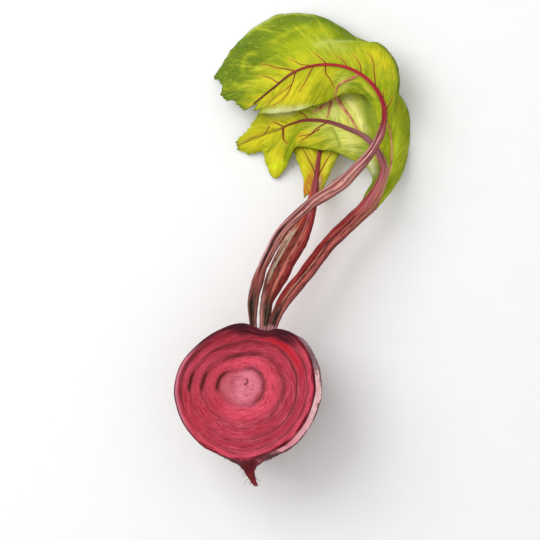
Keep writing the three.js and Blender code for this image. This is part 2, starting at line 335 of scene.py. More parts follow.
# root: turned profile (radius, height on its axis), cut along a plane in front of the axis
root = {
    "radius": 38.5,
    "axisHeight": 37.3,
    "cutOffset": 7.7,
    "crownShift": 10,
    "crownSlope": 0.33,
    "crownSharpness": 6,
    "hollowDepth": 7,  # where the stalks stand
    "hollowRadius": 6,
    "hollowCentre": (9.5, 5),
    "lean": math.radians(8),
    "leanTowards": math.radians(145),
    "tailStart": -36,
    "tailBend": 0.025,
    "profile": [(0, -50), (1.3, -49.6), (2, -45.5), (3.4, -41.5), (7, -38), (14, -34.6), (24, -29),
                (33, -18.5),
                (37.8, -6.5), (38.5, 3), (35.4, 15), (27, 25.6), (18, 31.5), (12, 33.8), (6, 34.2),
                (0, 34)],
    "lobes": [(0.016, 3, 0.05, 0), (0.01, 5, 0, 1.3)],  # depth, count, twist per mm, phase
    "ringDips": (11, 20.5, 28, 33),
    "ringCentre": (-2, 3),
    "crowding": (0.105, 92, 52),  # the rings crowd inwards: how far, and where and how wide in degrees
    "ringTones": {"pale": tone(218, 117, 133), "dusk": tone(184, 80, 98), "pink": tone(220, 74, 98),
                  "deep": tone(162, 54, 70), "rose": tone(190, 56, 78), "line": tone(120, 26, 42),
                  "bark": tone(62, 16, 28)},
    "rings": [(0, "pale"), (0.22, "pale"), (0.3, "dusk"), (0.385, "pink"), (0.475, "pink"), (0.57, "deep"),
              (0.675, "rose"), (0.757, "deep"), (0.83, "rose"), (0.9, "deep"), (0.962, "pink"),
              (0.98, "line"),
              (1, "bark")],
    "ringWobble": (0.012, 3, 1),  # depth, waves round the face, phase
    "crowdFrom": (0, 0.18),  # shares of the way from the middle to the rim, as are the next ones
    "crowdTo": (0.6, 1),
    "edgeStart": 0.96216,  # where the face rounds over to the rim
    "dashRings": (0.345, 0.575, 0.765),
    "dashWidth": 0.025,
    "dashRise": 1,  # mm that the dashes' middles are above the ring centre
    "dashReach": 5.2,
    # dark arcs: share, width, from and to in degrees round the middle, strength
    "darkArcs": [(0.315, 0.034, -60, 72, 0.85), (0.57, 0.032, 55, 130, 1.0), (0.58, 0.032, -50, 40, 0.5),
                 (0.775, 0.02, 60, 140, 0.75), (0.757, 0.015, -75, 42, 0.9), (0.895, 0.012, -70, 45, 0.65),
                 (0.905, 0.026, 135, 200, 1.0)],
    "arcFade": 16,
    "redArc": (0.825, 0.036, 8, 64),  # bright arc at the upper right: share, width, from and to
    "redArcFade": 18,
    "hookCentre": (2.2, 0.3),  # small hook by the ring centre
    "hookLine": (1.35, 0.5),  # radius and width
    "hookArc": (-120, 90, 25),
    "coreSide": (125, 235, 35),  # darker left of the core: degrees from and to, and fade
    "coreStart": (0.03, 0.12),
    "strokeScale": (1.6, 17),  # of the brushed pattern: round the face and outwards
    "ringRelief": 0.7,
    "rimRounding": 0.35,
    "rows": 210,
    "columns": 150,
    "faceRows": 120,
    # layers of roughness: height, wave length, seed
    "cutGrain": [(0.07, 5, 8)],
    "skinGrain": [(0.16, 9, 3), (0.096, 4.2, 4)],
    "smoothRim": (0.3, 5),  # the skin's roughness starts this far from the rim
    "smoothPoles": (0, 2),
    "poleTilt": 0.4,  # how much roughness points along the axis, away from the equator
    "equator": 2,
    "wrinkleDepth": 0.16,
    "wrinkleTurn": 2.6,  # radians per mm
    "wrinkleDrift": [(1.4, 14, 5)],
    "wrinkledTop": (18, 33),
    "wrinkledTail": (28, 40),
    "faceMiddle": (1, 1),  # bearings are taken round this point
}
# zones of colour on the root: in mm, in shares of the way to the rim, or in degrees from and to, and fade
rootZones = {
    "crownHeight": (25, 29),
    "crownReach": (5.5, 9.5),
    "lilacFrom": (0.94, 0.96),
    "lilacTo": (0.972, 0.985),
    "lilacSide": (146, 200, 12),
    # the skin's pale band by the rim, at the right and below: partly the pale rind, partly a painted
    # highlight
    "paleFrom": (-80, -50),
    "paleTo": (0, 22),
    "paleDepth": (5, 17),
    # the skin's lilac-grey band by the rim at the upper right: a painted highlight on the dark skin
    "greySide": (0, 78, 14),
    "greyDepth": (5, 18),
    "rimStart": 0.87,
    "rimWidening": 0.075,
    "rimWide": (38, 105, 14),
    "rimWidth": 0.12,
    "rimSide": (38, 150, 12),
    "topReach": (0.35, 0.9),
    "topSide": (40, 140, 25),
    "coreReach": (0.5, 0.62),
}


# rows of the turned profile, closest together where the cut plane starts and ends
def profileRows(samples=8001):
    p = np.array(root["profile"], float)
    spans = len(p) - 1
    place = np.linspace(0, spans, samples)
    k = np.minimum(place.astype(int), spans - 1)
    w = (place - k)[:, None]
    p0, p1, p2, p3 = p[np.maximum(k - 1, 0)], p[k], p[k + 1], p[np.minimum(k + 2, spans)]
    m1, m2 = (p2 - p0) / 2, (p3 - p1) / 2
    line = p1 + w * m1 + w**2 * (3 * (p2 - p1) - 2 * m1 - m2) + w**3 * (2 * (p1 - p2) + m1 + m2)
    radius, height = np.maximum(line[:, 0], 0), line[:, 1]
    halfCut = np.sqrt(np.maximum(radius**2 - root["cutOffset"] ** 2, 0))
    run = np.hypot(np.diff(radius), np.diff(height)) + np.abs(np.diff(halfCut))
    travelled = np.concatenate([[0], np.cumsum(run)])
    picks = np.linspace(0, travelled[-1], root["rows"])
    return np.interp(picks, travelled, radius), np.interp(picks, travelled, height)


def swellAt(angle, height):
    total = 1.0
    for depth, count, twist, phase in root["lobes"]:
        total = total + depth * np.sin(count * angle + twist * height + phase)
    return total


def fromHollow(x, z):
    return np.hypot(x - root["hollowCentre"][0], z - root["hollowCentre"][1])


def skinPoints(radius, height, angle):
    reach = radius * swellAt(angle, height)
    tail = np.maximum(0, root["tailStart"] - height)
    shoulder = np.maximum(0, height) / root["radius"]
    x = reach * np.sin(angle) + root["tailBend"] * tail**2 + root["crownShift"] * shoulder**3
    z = reach * np.cos(angle)
    hollow = root["hollowDepth"] * bell(fromHollow(x, z), 0, root["hollowRadius"])
    y = height - (root["crownSlope"] * x + hollow) * shoulder ** root["crownSharpness"]
    return np.stack([x, y, z], -1)


# turns the root on to its back, cut face up, and flattens the spot that it rests on
def layDown(points):
    toward = root["leanTowards"]
    axis = Vector((-math.sin(toward), math.cos(toward), 0))
    turn = np.array(Matrix.Rotation(root["lean"], 3, axis))
    placed = points @ turn.T + np.array((0, 0, root["axisHeight"]))
    placed[..., 2] = np.maximum(placed[..., 2], 0)
    return placed


# the angle, on one side of the root, where the skin meets the rounded edge of the cut
def rimAngle(radius, height, side, rounds=30):
    level = root["cutOffset"] - root["rimRounding"]
    angle = np.zeros_like(radius)
    for _ in range(rounds):
        share = level / np.maximum(radius * swellAt(side * angle, height), 1e-6)
        angle = np.arccos(np.clip(share, -1, 1))
    return angle


# how far round the cut face, in degrees from +X, is a point of the root
def bearing(points):
    middle = root["faceMiddle"]
    return np.degrees(np.arctan2(points[..., 1] - middle[1], points[..., 0] - middle[0]))


def skinSheet():
    radius, height = profileRows()
    right, left = rimAngle(radius, height, 1), rimAngle(radius, height, -1)
    share = np.linspace(0, 1, root["columns"])
    angle = right[:, None] + (2 * np.pi - left - right)[:, None] * share
    points = skinPoints(radius[:, None], height[:, None], angle)
    isCut = right + left > 1e-6  # the cut misses the tap root and the crown
    fromRim = nearestGap(points, np.vstack([points[isCut, 0], points[isCut, -1]]))[0]
    tall = points[..., 1]
    outward = points - points.mean(1, keepdims=True)
    outward[..., 1] += root["poleTilt"] * (tall - root["equator"])
    keep = ease(fromRim, *root["smoothRim"]) * ease(radius, *root["smoothPoles"])[:, None]
    neck = ease(tall, *root["wrinkledTop"]) + ease(-tall, *root["wrinkledTail"])
    bands = np.sin(tall * root["wrinkleTurn"] + layered(points, root["wrinkleDrift"]))
    rough = layered(points, root["skinGrain"]) + root["wrinkleDepth"] * neck * bands
    points = points + unit(outward) * (keep * rough)[..., None]
    return points, fromRim, isCut


# bands stand proud and dips sink, worked out at shares of the way from ring centre to rim
def ringRelief(share):
    marks = [0.0]
    for n, dip in enumerate(root["ringDips"]):
        after = root["ringDips"][n + 1] if n + 1 < len(root["ringDips"]) else root["radius"]
        marks += [dip / root["radius"], (dip + after) / 2 / root["radius"]]
    phase = np.interp(share, marks, np.arange(len(marks)))
    return root["ringRelief"] / 2 * np.cos(np.pi * phase)


# the rim's outline with its corners taken off, which the inner rings follow
def evenRound(turn, reach, samples=256, keptWaves=3):
    steps = np.linspace(-np.pi, np.pi, samples, endpoint=False)
    waves = np.fft.rfft(np.interp(steps, turn, reach, period=2 * np.pi))
    waves[keptWaves:] = 0
    return np.interp(turn, steps, np.fft.irfft(waves), period=2 * np.pi)


# the cut face as a grid from the ring centre to the rim, with each point's place among the rings
def cutFace(skin, isCut):
    cut = np.where(isCut)[0]
    bottom, top = skin[cut[0] - 1, 0], skin[cut[-1] + 1, 0]
    rim = np.vstack([bottom, skin[cut, 0], top, skin[cut[::-1], -1]])
    rim = np.vstack([rim, rim[:1]])
    centre = np.array((*root["ringCentre"], 0.0))
    share = np.linspace(0, 1, root["faceRows"])[:, None]
    spoke = rim - centre
    turn = np.arctan2(spoke[:, 1], spoke[:, 0])
    reach = np.linalg.norm(spoke[:, :2], axis=1)
    even = evenRound(turn, reach)
    ring = share * reach / (even * (1 - share**4) + reach * share**4)
    most, where, spread = root["crowding"]
    depth, waves, phase = root["ringWobble"]
    crowd = most * bell(np.degrees(turn), where, spread) + depth * np.sin(waves * turn + phase)
    ring = ring + crowd * ease(share, *root["crowdFrom"]) * (1 - ease(share, *root["crowdTo"]))
    points = centre + spoke * share[..., None]
    edge = ease(share, root["edgeStart"], 1)
    lift = (ringRelief(ring) + layered(points, root["cutGrain"])) * (1 - edge) - root["rimRounding"] * edge
    points[..., 2] = root["cutOffset"] + lift
    points[-1] = rim
    return points, ring, turn


# marks on the face: dashes left of the middle, dark arcs, a red arc, and a hook and a shade in the core
def faceMarks(face, ring):
    offside = face.reshape(-1, 3)[:, :2] - np.array(root["ringCentre"])
    around = np.degrees(np.arctan2(offside[:, 1], offside[:, 0]))
    lines = bell(ring[:, None], np.array(root["dashRings"]), root["dashWidth"]).max(1)
    ends = np.exp(-(((offside[:, 1] - root["dashRise"]) / root["dashReach"]) ** 6))
    dashes = lines * ends * (offside[:, 0] < 0)
    arcs = np.zeros_like(ring)
    for at, width, low, high, strength in root["darkArcs"]:
        onward = np.where(around < low - 90, around + 360, around)
        arc = strength * bell(ring, at, width) * window(onward, low, high, root["arcFade"])
        arcs = np.maximum(arcs, arc)
    at, width, low, high = root["redArc"]
    bright = bell(ring, at, width) * window(around, low, high, root["redArcFade"])
    hook = offside - np.array(root["hookCentre"])
    hookTurn = np.degrees(np.arctan2(hook[:, 1], hook[:, 0]))
    curl = bell(np.hypot(hook[:, 0], hook[:, 1]), *root["hookLine"]) * window(hookTurn, *root["hookArc"])
    leftward = window(np.abs(around), *root["coreSide"]) * ease(ring, *root["coreStart"])
    return dashes, arcs, bright, curl, leftward


def rootPiece(fleshFinish, skinFinish):
    skin, fromRim, isCut = skinSheet()
    face, ring, turn = cutFace(skin, isCut)
    skinCount, faceCount = skin[..., 0].size, face[..., 0].size
    points = np.vstack([face.reshape(-1, 3), skin.reshape(-1, 3)])
    upwards = gridFaces(*face.shape[:2])[:, ::-1]
    faces = np.vstack([upwards, gridFaces(*skin.shape[:2], offset=faceCount)])
    around = np.broadcast_to(turn, ring.shape)
    roundScale, outScale = root["strokeScale"]
    flow = np.stack([np.cos(around) * roundScale, np.sin(around) * roundScale, ring * outScale], -1)
    ring = ring.ravel()
    faceAngle, skinAngle, depth = bearing(face).ravel(), bearing(skin).ravel(), fromRim.ravel()
    dashes, arcs, bright, hook, leftward = faceMarks(face, ring)
    zone = rootZones
    lilac = ease(ring, *zone["lilacFrom"]) * (1 - ease(ring, *zone["lilacTo"]))
    rimStart = zone["rimStart"] - zone["rimWidening"] * window(faceAngle, *zone["rimWide"])
    pale = ease(skinAngle, *zone["paleFrom"]) * (1 - ease(skinAngle, *zone["paleTo"]))
    nearHollow = 1 - ease(fromHollow(skin[..., 0], skin[..., 2]), *zone["crownReach"])
    crown = ease(skin[..., 1], *zone["crownHeight"]) * nearHollow

    def onFace(values):
        return np.concatenate([values, np.zeros(skinCount)])

    def onSkin(values):
        return np.concatenate([np.zeros(faceCount), values])

    attributes = {
        "ringShare": np.concatenate([ring, np.ones(skinCount)]),
        "ringFlow": np.vstack([flow.reshape(-1, 3), np.zeros((skinCount, 3))]),
        "rimShade": onFace(ease(ring - rimStart, 0, zone["rimWidth"]) * window(faceAngle,
                                                                               *zone["rimSide"])),
        "topShade": onFace(ease(ring, *zone["topReach"]) * window(faceAngle, *zone["topSide"])),
        "lilacEdge": onFace(lilac * window(np.abs(faceAngle), *zone["lilacSide"])),
        "dashes": onFace(dashes),
        "arcs": onFace(arcs),
        "redArc": onFace(bright),
        "hook": onFace(hook),
        "coreShade": onFace(leftward * (1 - ease(ring, *zone["coreReach"]))),
        "fromRim": onSkin(depth),
        # pale band: partly rind colour, partly a painted highlight
        "paleBand": onSkin((1 - ease(depth, *zone["paleDepth"])) * pale),
        # grey band: a painted highlight on the dark skin
        "greyBand": onSkin((1 - ease(depth, *zone["greyDepth"])) * window(skinAngle, *zone["greySide"])),
        "crownNear": onSkin(crown.ravel()),
    }
    points, faces, attributes = weld(points, faces, attributes)
    isFlesh = attributes["ringShare"] < 0.9999

    def finishOf(mesh):
        return [0 if isFlesh[list(polygon.vertices)].any() else 1 for polygon in mesh.polygons]

    return buildPiece("beet_root", layDown(points), faces, attributes, [fleshFinish, skinFinish], finishOf)


def fleshMaterial():
    flesh = Finish("ringedFlesh", 0.45, 0.08)
    flow, share = flesh.attribute("ringFlow", vector=True), flesh.attribute("ringShare")
    brush = flesh.noise(flow, 2.0, 4.0, 0.6)
    stroke = flesh.noise(flesh.stretch(flow, (1.0, 1.0, 1.3)), 2.1, 4.0, 0.62)
    thread = flesh.noise(flesh.stretch(flow, (1.5, 1.5, 3.4)), 2.3, 3.0, 0.6)
    wash = flesh.noise(flesh.place(), 62.0, 3.0)
    smear = flesh.noise(flesh.stretch(flesh.place(), (1.0, 2.2, 1.0)), 190.0, 3.0, 0.6, 1.5)
    ring = flesh.total(share, flesh.span(brush, 0.2, 0.8, -0.022, 0.022))
    ring = flesh.total(ring, flesh.span(wash, 0.25, 0.75, -0.025, 0.025))
    outside, inside = flesh.span(ring, 0.2, 0.36), flesh.span(ring, 0.2, 0.32, 1.0, 0.0)
    colour = flesh.ramp(ring, [(place, root["ringTones"][name]) for place, name in root["rings"]])
    # strokes outside the core and smears in it: pattern, its reach, strength at both ends, shade, where
    for layer in (
        (wash, (0.48, 0.66), (0.0, 0.35), tone(176, 26, 42), outside),
        (stroke, (0.52, 0.66), (0.0, 0.55), tone(118, 18, 34), outside),
        (stroke, (0.34, 0.46), (0.52, 0.0), tone(228, 92, 114), outside),
        (thread, (0.55, 0.66), (0.0, 0.38), tone(108, 20, 36), outside),
        (thread, (0.34, 0.44), (0.34, 0.0), tone(236, 124, 140), outside),
        (smear, (0.52, 0.64), (0.0, 0.6), tone(172, 74, 98), inside),
        (smear, (0.34, 0.46), (0.6, 0.0), tone(226, 142, 156), inside),
    ):
        colour = flesh.lay(colour, *layer)
    broken = flesh.span(stroke, 0.35, 0.6, 0.65, 1.0)
    for name, strength, shade in (
        ("topShade", 0.5, tone(134, 20, 36)),
        ("coreShade", 0.5, tone(160, 40, 56)),
        ("redArc", flesh.span(thread, 0.4, 0.6, 0.95, 0.45), tone(208, 26, 40)),
        ("arcs", broken, tone(104, 38, 44)),
        ("dashes", 1.0, tone(66, 22, 6)),
        ("hook", 0.95, tone(104, 28, 50)),
        ("rimShade", flesh.span(stroke, 0.3, 0.6, 0.65, 1.0), tone(56, 12, 24)),
        ("lilacEdge", 0.7, tone(186, 128, 146)),
    ):
        colour = flesh.mark(colour, name, strength, shade)
    fibre = flesh.noise(flesh.place(), 900.0, 2.0)
    normal = flesh.bump(flesh.product(stroke, outside), 0.0006, 0.5)
    normal = flesh.bump(fibre, 0.00012, 0.5, normal)
    return flesh.done(colour, flesh.span(fibre, 0.35, 0.7, 0.38, 0.54), normal)


def skinMaterial():
    skin = Finish("beetSkin", 0.55, 0.12)
    place = skin.place()
    height = skin.node("ShaderNodeSeparateXYZ", {"Vector": place}).outputs["Y"]
    blotch = skin.noise(place, 75.0, 4.0, 0.6)
    speck = skin.noise(place, 420.0, 3.0, 0.6)
    lines = skin.noise(skin.stretch(place, (1.0, 5.0, 1.0)), 120.0, 4.0, 0.6)
    colour = skin.mix(skin.span(blotch, 0.35, 0.65), tone(74, 18, 26), tone(126, 36, 42))
    colour = skin.lay(colour, lines, (0.5, 0.75), (0.0, 0.6), tone(54, 16, 26))
    colour = skin.lay(colour, speck, (0.6, 0.8), (0.0, 0.45), tone(160, 84, 82))
    # lilac-grey band by the rim at the upper right: a painted highlight on the dark skin
    grey = skin.mix(skin.span(lines, 0.4, 0.65), tone(126, 84, 94), tone(172, 130, 138))
    colour = skin.mix(skin.attribute("greyBand"), colour, grey)
    # pale pink band by the rim at the right and below: partly the pale rind, partly a painted highlight
    rindAndHighlight = skin.mix(skin.span(blotch, 0.35, 0.65), tone(246, 166, 174), tone(255, 214, 212))
    rindAndHighlight = skin.lay(rindAndHighlight, lines, (0.52, 0.8), (0.0, 0.4), tone(214, 112, 130))
    rindAndHighlight = skin.lay(rindAndHighlight, height, (-0.032, -0.004), (0.55, 0.0), tone(248, 128, 150))
    broken = skin.total(skin.attribute("paleBand"), skin.span(blotch, 0.3, 0.7, -0.3, 0.3))
    broken = skin.total(broken, skin.span(lines, 0.3, 0.7, 0.2, -0.2))
    colour = skin.mix(skin.span(broken, 0.25, 0.8), colour, rindAndHighlight)
    collar = skin.mix(skin.span(lines, 0.4, 0.65), tone(218, 156, 166), tone(150, 66, 88))
    colour = skin.mix(skin.attribute("crownNear"), colour, collar)
    colour = skin.lay(colour, skin.attribute("fromRim"), (0.3, 0.9), (0.85, 0.0), tone(76, 22, 34))
    normal = skin.bump(speck, 0.00025, 0.5, skin.bump(lines, 0.0006, 0.5))
    return skin.done(colour, skin.span(speck, 0.3, 0.7, 0.46, 0.64), normal)


rootObject = rootPiece(fleshMaterial(), skinMaterial())
print("root:", len(rootObject.data.polygons), "faces")


# leaves: points of the stalk, which carries on as the rib, and of the blade's two edges. Places on a blade
# are shares: along it from base to tip, and across it from -1 at the inner edge to 1 at the outer
leaves = {
    "arching_leaf": {
        "petiole": [(2.5, 27, 36), (1.8, 38, 36.5), (2.1, 47, 36.5), (4.5, 58, 35.5), (8.3, 68.4, 34),
                    (16.9, 83.9, 32), (30.1, 97, 30), (45.7, 107.4, 28.5), (57, 118, 27.5), (65, 128, 27)],
        "rib": [(70, 140, 27), (70, 150, 27.5), (66, 159, 28), (58, 167, 28), (47, 172, 27.5),
                (33, 173, 26),
                (21, 170, 23.5), (10, 163, 20), (-2, 155, 16)],
        "outerEdge": [(72, 141, 25), (77, 155, 22), (77.5, 169, 20), (71, 182, 17), (54, 191, 12),
                      (33, 204, 6),
                      (9, 207, 1), (-14, 192, 0.5), (-24.5, 175, 2)],
        "innerEdge": [(67, 140, 25), (64, 150, 22), (60, 156, 20.5), (52, 159, 19.5), (44, 157, 19),
                      (34, 153, 18.5),
                      (24, 151, 17.5), (13, 150, 16), (2, 151, 14)],
        "halfWidths": [(0, 1.9), (0.05, 2), (0.1, 2.7), (0.155, 2.9), (0.205, 2.4), (0.25, 2.7),
                       (0.34, 2.7),
                       (0.39, 3.5), (0.44, 2.9), (0.5, 2.1), (0.56, 1.5), (0.67, 1), (0.83, 0.7), (1, 0.4)],
        "flatness": 0.8,
        "ruffle": (1.6, 5, 0.4),  # height, waves along the blade, phase
        "teeth": (1.8, 2),  # depth and count across the tip
        "tipBulge": 6.5,
        "scallops": (0.35, 13),  # depth and count along the edges, towards the tip
        "rows": 250,
        "columns": 120,
        "strokes": 46,
        # each side vein: width, then its line from the rib outwards
        "sideVeins": [
            (1.0, [(0.73, 0.0), (0.8, 0.2), (0.84, 0.43)]),
            (0.8, [(0.83, 0.0), (0.85, 0.18), (0.87, 0.29)]),
            (0.8, [(0.63, 0.0), (0.69, 0.07), (0.74, 0.22)]),
            (0.9, [(0.56, 0.0), (0.6, 0.15), (0.63, 0.25)]),
            (0.8, [(0.46, 0.0), (0.5, 0.18), (0.54, 0.26)]),
            (0.8, [(0.37, 0.0), (0.42, 0.25), (0.47, 0.43)]),
            (0.9, [(0.25, 0.0), (0.32, 0.25), (0.38, 0.5), (0.43, 0.64)]),
            (0.9, [(0.13, 0.0), (0.21, 0.22)]),
            (1.0, [(0.07, 0.0), (0.11, 0.42), (0.14, 0.64)]),
            (0.8, [(0.73, 0.0), (0.77, -0.29), (0.81, -0.51), (0.92, -0.7)]),
            (0.6, [(0.77, -0.29), (0.85, -0.35), (0.93, -0.42)]),
            (0.8, [(0.63, 0.0), (0.69, -0.38), (0.73, -0.54)]),
            (1.0, [(0.57, 0.0), (0.57, -0.23), (0.54, -0.48), (0.52, -0.71)]),
        ],
        "pinkVeins": [(2.2, [(0.38, 0.0), (0.42, -0.4), (0.49, -0.64), (0.51, -0.98)])],
        # where the pale lobe by the rib folds over the dark back of the blade
        "fold": [(0.43, 1.0), (0.48, 0.86), (0.55, 0.58), (0.62, 0.38), (0.7, 0.3), (0.78, 0.37),
                 (0.86, 0.46)],
        # painted strokes: half width and lift in mm, colour, strength, and their line. Many are painted
        # light:
        # pale ones painted highlights along raised folds and edges, dark ones painted shade in sunk creases
        # and under the rib
        "creases": [
            (2.2, 0.4, tone(240, 242, 186), 0.9,
             [(0.97, -0.95), (0.87, -0.93), (0.78, -0.97), (0.68, -1.0)]),
            (1.3, -0.5, tone(104, 132, 24), 0.75,
             [(0.46, -0.66), (0.36, -0.59), (0.28, -0.72), (0.15, -0.71)]),
            (0.9, -0.3, tone(128, 140, 20), 0.6, [(0.36, -0.1), (0.27, -0.24), (0.2, -0.2), (0.12, -0.25)]),
            (1.2, 0.3, tone(212, 210, 70), 0.6, [(0.34, -0.3), (0.26, -0.45), (0.19, -0.42)]),
            (1.8, 0.0, tone(92, 120, 6), 0.6,
             [(0.8, 0.8), (0.73, 0.83), (0.66, 0.86), (0.6, 0.92), (0.52, 0.95)]),
            (1.3, 0.2, tone(206, 216, 96), 0.85,
             [(0.86, 0.98), (0.8, 0.97), (0.73, 0.98), (0.66, 0.99), (0.62, 1.0)]),
            (3.2, 0.0, tone(80, 106, 4), 0.75, [(0.99, 0.8), (0.95, 0.9), (0.86, 0.84), (0.8, 0.84)]),
            (2.2, 0.0, tone(88, 114, 4), 0.65, [(0.96, 0.55), (0.89, 0.63), (0.84, 0.7)]),
            (1.8, 0.0, tone(84, 110, 8), 0.7, [(1.0, 0.7), (0.99, 0.5), (0.97, 0.35), (0.96, 0.18)]),
            (1.8, 0.0, tone(200, 202, 30), 0.6, [(0.8, 0.62), (0.76, 0.59), (0.69, 0.7), (0.64, 0.72)]),
            (1.6, 0.0, tone(190, 196, 30), 0.55, [(0.91, 0.45), (0.87, 0.68), (0.83, 0.6)]),
            (1.6, 0.3, tone(210, 216, 116), 0.7, [(0.63, 0.35), (0.6, 0.43), (0.54, 0.63), (0.48, 0.86)]),
            (1.1, 0.0, tone(70, 92, 20), 0.8,
             [(0.46, 1.0), (0.37, 0.98), (0.28, 0.98), (0.2, 0.97), (0.1, 0.95)]),
            (1.2, 0.0, tone(230, 208, 40), 0.7, [(0.42, 0.71), (0.35, 0.66), (0.28, 0.62)]),
            (1.0, 0.0, tone(230, 208, 40), 0.7, [(0.34, 0.8), (0.3, 0.82), (0.22, 0.75)]),
            (1.4, -0.2, tone(138, 148, 20), 0.6, [(0.67, -0.74), (0.62, -0.6), (0.58, -0.45)]),
        ],
        # soft patches of colour: along, across, their length and width, strength. The olive ones are partly
        # painted shade by the blade's far edges
        "olive": [(0.97, 0.75, 0.14, 0.45, 1.0), (0.8, 1.0, 0.25, 0.2, 0.5), (0.88, 0.6, 0.1, 0.25, 0.9),
                  (0.6, 0.95, 0.14, 0.14, 0.7), (1.0, 0.35, 0.05, 0.4, 1.0), (0.18, 1.0, 0.12, 0.2, 0.9),
                  (0.62, -0.6, 0.06, 0.25, 0.4), (0.2, -0.9, 0.16, 0.3, 0.7), (0.3, 1.0, 0.14, 0.1, 0.8)],
        "yellow": [(0.36, 0.6, 0.08, 0.3, 0.8), (0.9, -0.3, 0.12, 0.4, 1.0), (0.75, -0.65, 0.12, 0.35, 0.9),
                   (0.75, 0.14, 0.16, 0.12, 0.4), (0.5, 0.25, 0.08, 0.2, 0.3), (0.6, -0.3, 0.12, 0.3, 0.5)],
        "pale": [(0.45, -0.55, 0.06, 0.3, 0.6), (0.56, 0.45, 0.06, 0.15, 0.4)],
        "blush": [],
        "along": [(0.0, tone(176, 112, 104)), (0.1, tone(142, 76, 70)), (0.2, tone(142, 70, 68)),
                  (0.3, tone(184, 112, 106)), (0.4, tone(240, 168, 160)), (0.48, tone(214, 144, 150)),
                  (0.56, tone(176, 52, 66)), (0.66, tone(190, 32, 52)), (0.77, tone(204, 36, 48)),
                  (0.85, tone(184, 40, 42)), (0.92, tone(116, 42, 28)), (1.0, tone(92, 44, 24))],
        "leftSide": tone(142, 66, 70),
        "rightSide": tone(200, 116, 110),
        # stripes on the stalk's upper side: place across it from -1 to 1, width, start and end along it,
        # colour, strength. The palest are partly painted highlights, and the near-black ones at the foot
        # partly painted shade where the stalks leave the crown
        "stripes": [
            (-0.75, 0.14, 0.19, 0.52, tone(238, 186, 180), 0.9),
            (-0.95, 0.12, 0.1, 0.5, tone(96, 40, 48), 0.8),
            (-0.2, 0.3, 0.2, 0.31, tone(52, 46, 42), 0.95),
            (-0.35, 0.14, 0.29, 0.54, tone(104, 44, 46), 0.9),
            (0.1, 0.14, 0.3, 0.54, tone(246, 190, 180), 0.9),
            (0.3, 0.12, 0.18, 0.34, tone(232, 166, 156), 0.85),
            (0.45, 0.12, 0.3, 0.5, tone(84, 38, 38), 0.9), (0.6, 0.12, 0.2, 0.32, tone(88, 42, 40), 0.85),
            (0.8, 0.16, 0.24, 0.44, tone(250, 186, 172), 0.9),
            (0.0, 0.4, 0.13, 0.2, tone(132, 62, 58), 0.7),
            (0.0, 0.9, -0.1, 0.12, tone(98, 80, 60), 0.85),
            (-0.15, 0.36, -0.1, 0.13, tone(22, 28, 18), 1.0),
            (0.45, 0.14, 0.02, 0.15, tone(46, 48, 34), 0.9),
            (-0.85, 0.16, -0.1, 0.16, tone(150, 104, 84), 0.8),
        ],
    },
    "side_leaf": {
        "petiole": [(11, 26, 37), (13.3, 36, 37), (18.7, 47.2, 35), (29.7, 62.2, 31), (40.6, 77.3, 27),
                    (51.9, 89.1, 23.5)],
        "rib": [(60.5, 97.6, 21), (66, 107, 19), (69, 117, 18), (66, 126, 17), (59, 135, 16), (48, 141, 15),
                (37, 145, 14),
                (25, 146, 13), (20, 145, 12), (16, 144, 11), (12, 142.5, 10), (8, 141.5, 9), (4, 140.5, 8),
                (-3, 138.5, 6), (-13, 135.5, 3.5)],
        "outerEdge": [(64, 96, 16), (72, 107, 11), (78, 119, 5), (80.5, 134, 1), (80, 152, 0.5),
                      (70, 166, 3),
                      (51, 167, 7), (32, 162, 9), (23, 158, 9), (14, 155, 9), (7, 153, 8.5), (-1, 151, 7.5),
                      (-5, 146, 6), (-10, 141, 4), (-14, 137.5, 2.5)],
        "innerEdge": [(55, 98, 16), (59, 106, 14), (62, 113, 13), (58, 121, 12), (51, 124, 12),
                      (43, 128, 12.5),
                      (33, 130, 12.5), (21, 132, 10), (17, 127, 7), (13, 121, 3.5), (8, 117, 1),
                      (3, 122, 1),
                      (1, 131, 2), (-6, 130, 1.5), (-13, 133, 1)],
        "halfWidths": [(0, 2.2), (0.045, 2.5), (0.075, 2.9), (0.1, 3.5), (0.15, 3.8), (0.25, 3.8),
                       (0.3, 4.1),
                       (0.34, 3.2), (0.4, 2.1), (0.54, 1.2), (0.71, 0.5), (1, 0.4)],
        "flatness": 0.75,
        "ruffle": (1.3, 6, 1.2),
        "teeth": (0.3, 1),
        "tipBulge": 0,
        "scallops": (1.2, 19),
        "rows": 280,
        "columns": 104,
        "strokes": 54,
        "sideVeins": [
            (1.0, [(0.68, 0.0), (0.72, 0.3), (0.74, 0.47)]),
            (1.8, [(0.69, 0.0), (0.68, -0.12), (0.67, -0.25), (0.62, -0.46)]),
            (0.7, [(0.78, 0.27), (0.88, 0.05), (0.95, 0.25)]),
            (0.9, [(0.48, 0.0), (0.51, 0.2), (0.56, 0.43)]),
            (1.1, [(0.42, 0.0), (0.45, -0.31), (0.47, -0.56), (0.5, -0.62)]),
            (0.9, [(0.44, -0.3), (0.47, -0.63), (0.49, -0.86)]),
        ],
        "pinkVeins": [
            (3.4, [(0.45, 0.68), (0.46, 0.38), (0.48, 0.23)]),
            (2.4, [(0.45, 0.68), (0.44, 0.33), (0.43, 0.08)]),
            (3.2, [(0.45, 0.68), (0.4, 0.32), (0.36, 0.17), (0.32, 0.04)]),
            (2.6, [(0.06, 0.0), (0.13, 0.25), (0.2, 0.42), (0.28, 0.53)]),
        ],
        "fold": [],
        "creases": [
            (1.8, 0.8, tone(254, 248, 156), 1.0, [(0.44, 0.79), (0.39, 0.45), (0.34, 0.22), (0.29, 0.06)]),
            (1.0, -0.5, tone(112, 140, 40), 0.8, [(0.42, 0.8), (0.36, 0.55), (0.31, 0.3), (0.27, 0.14)]),
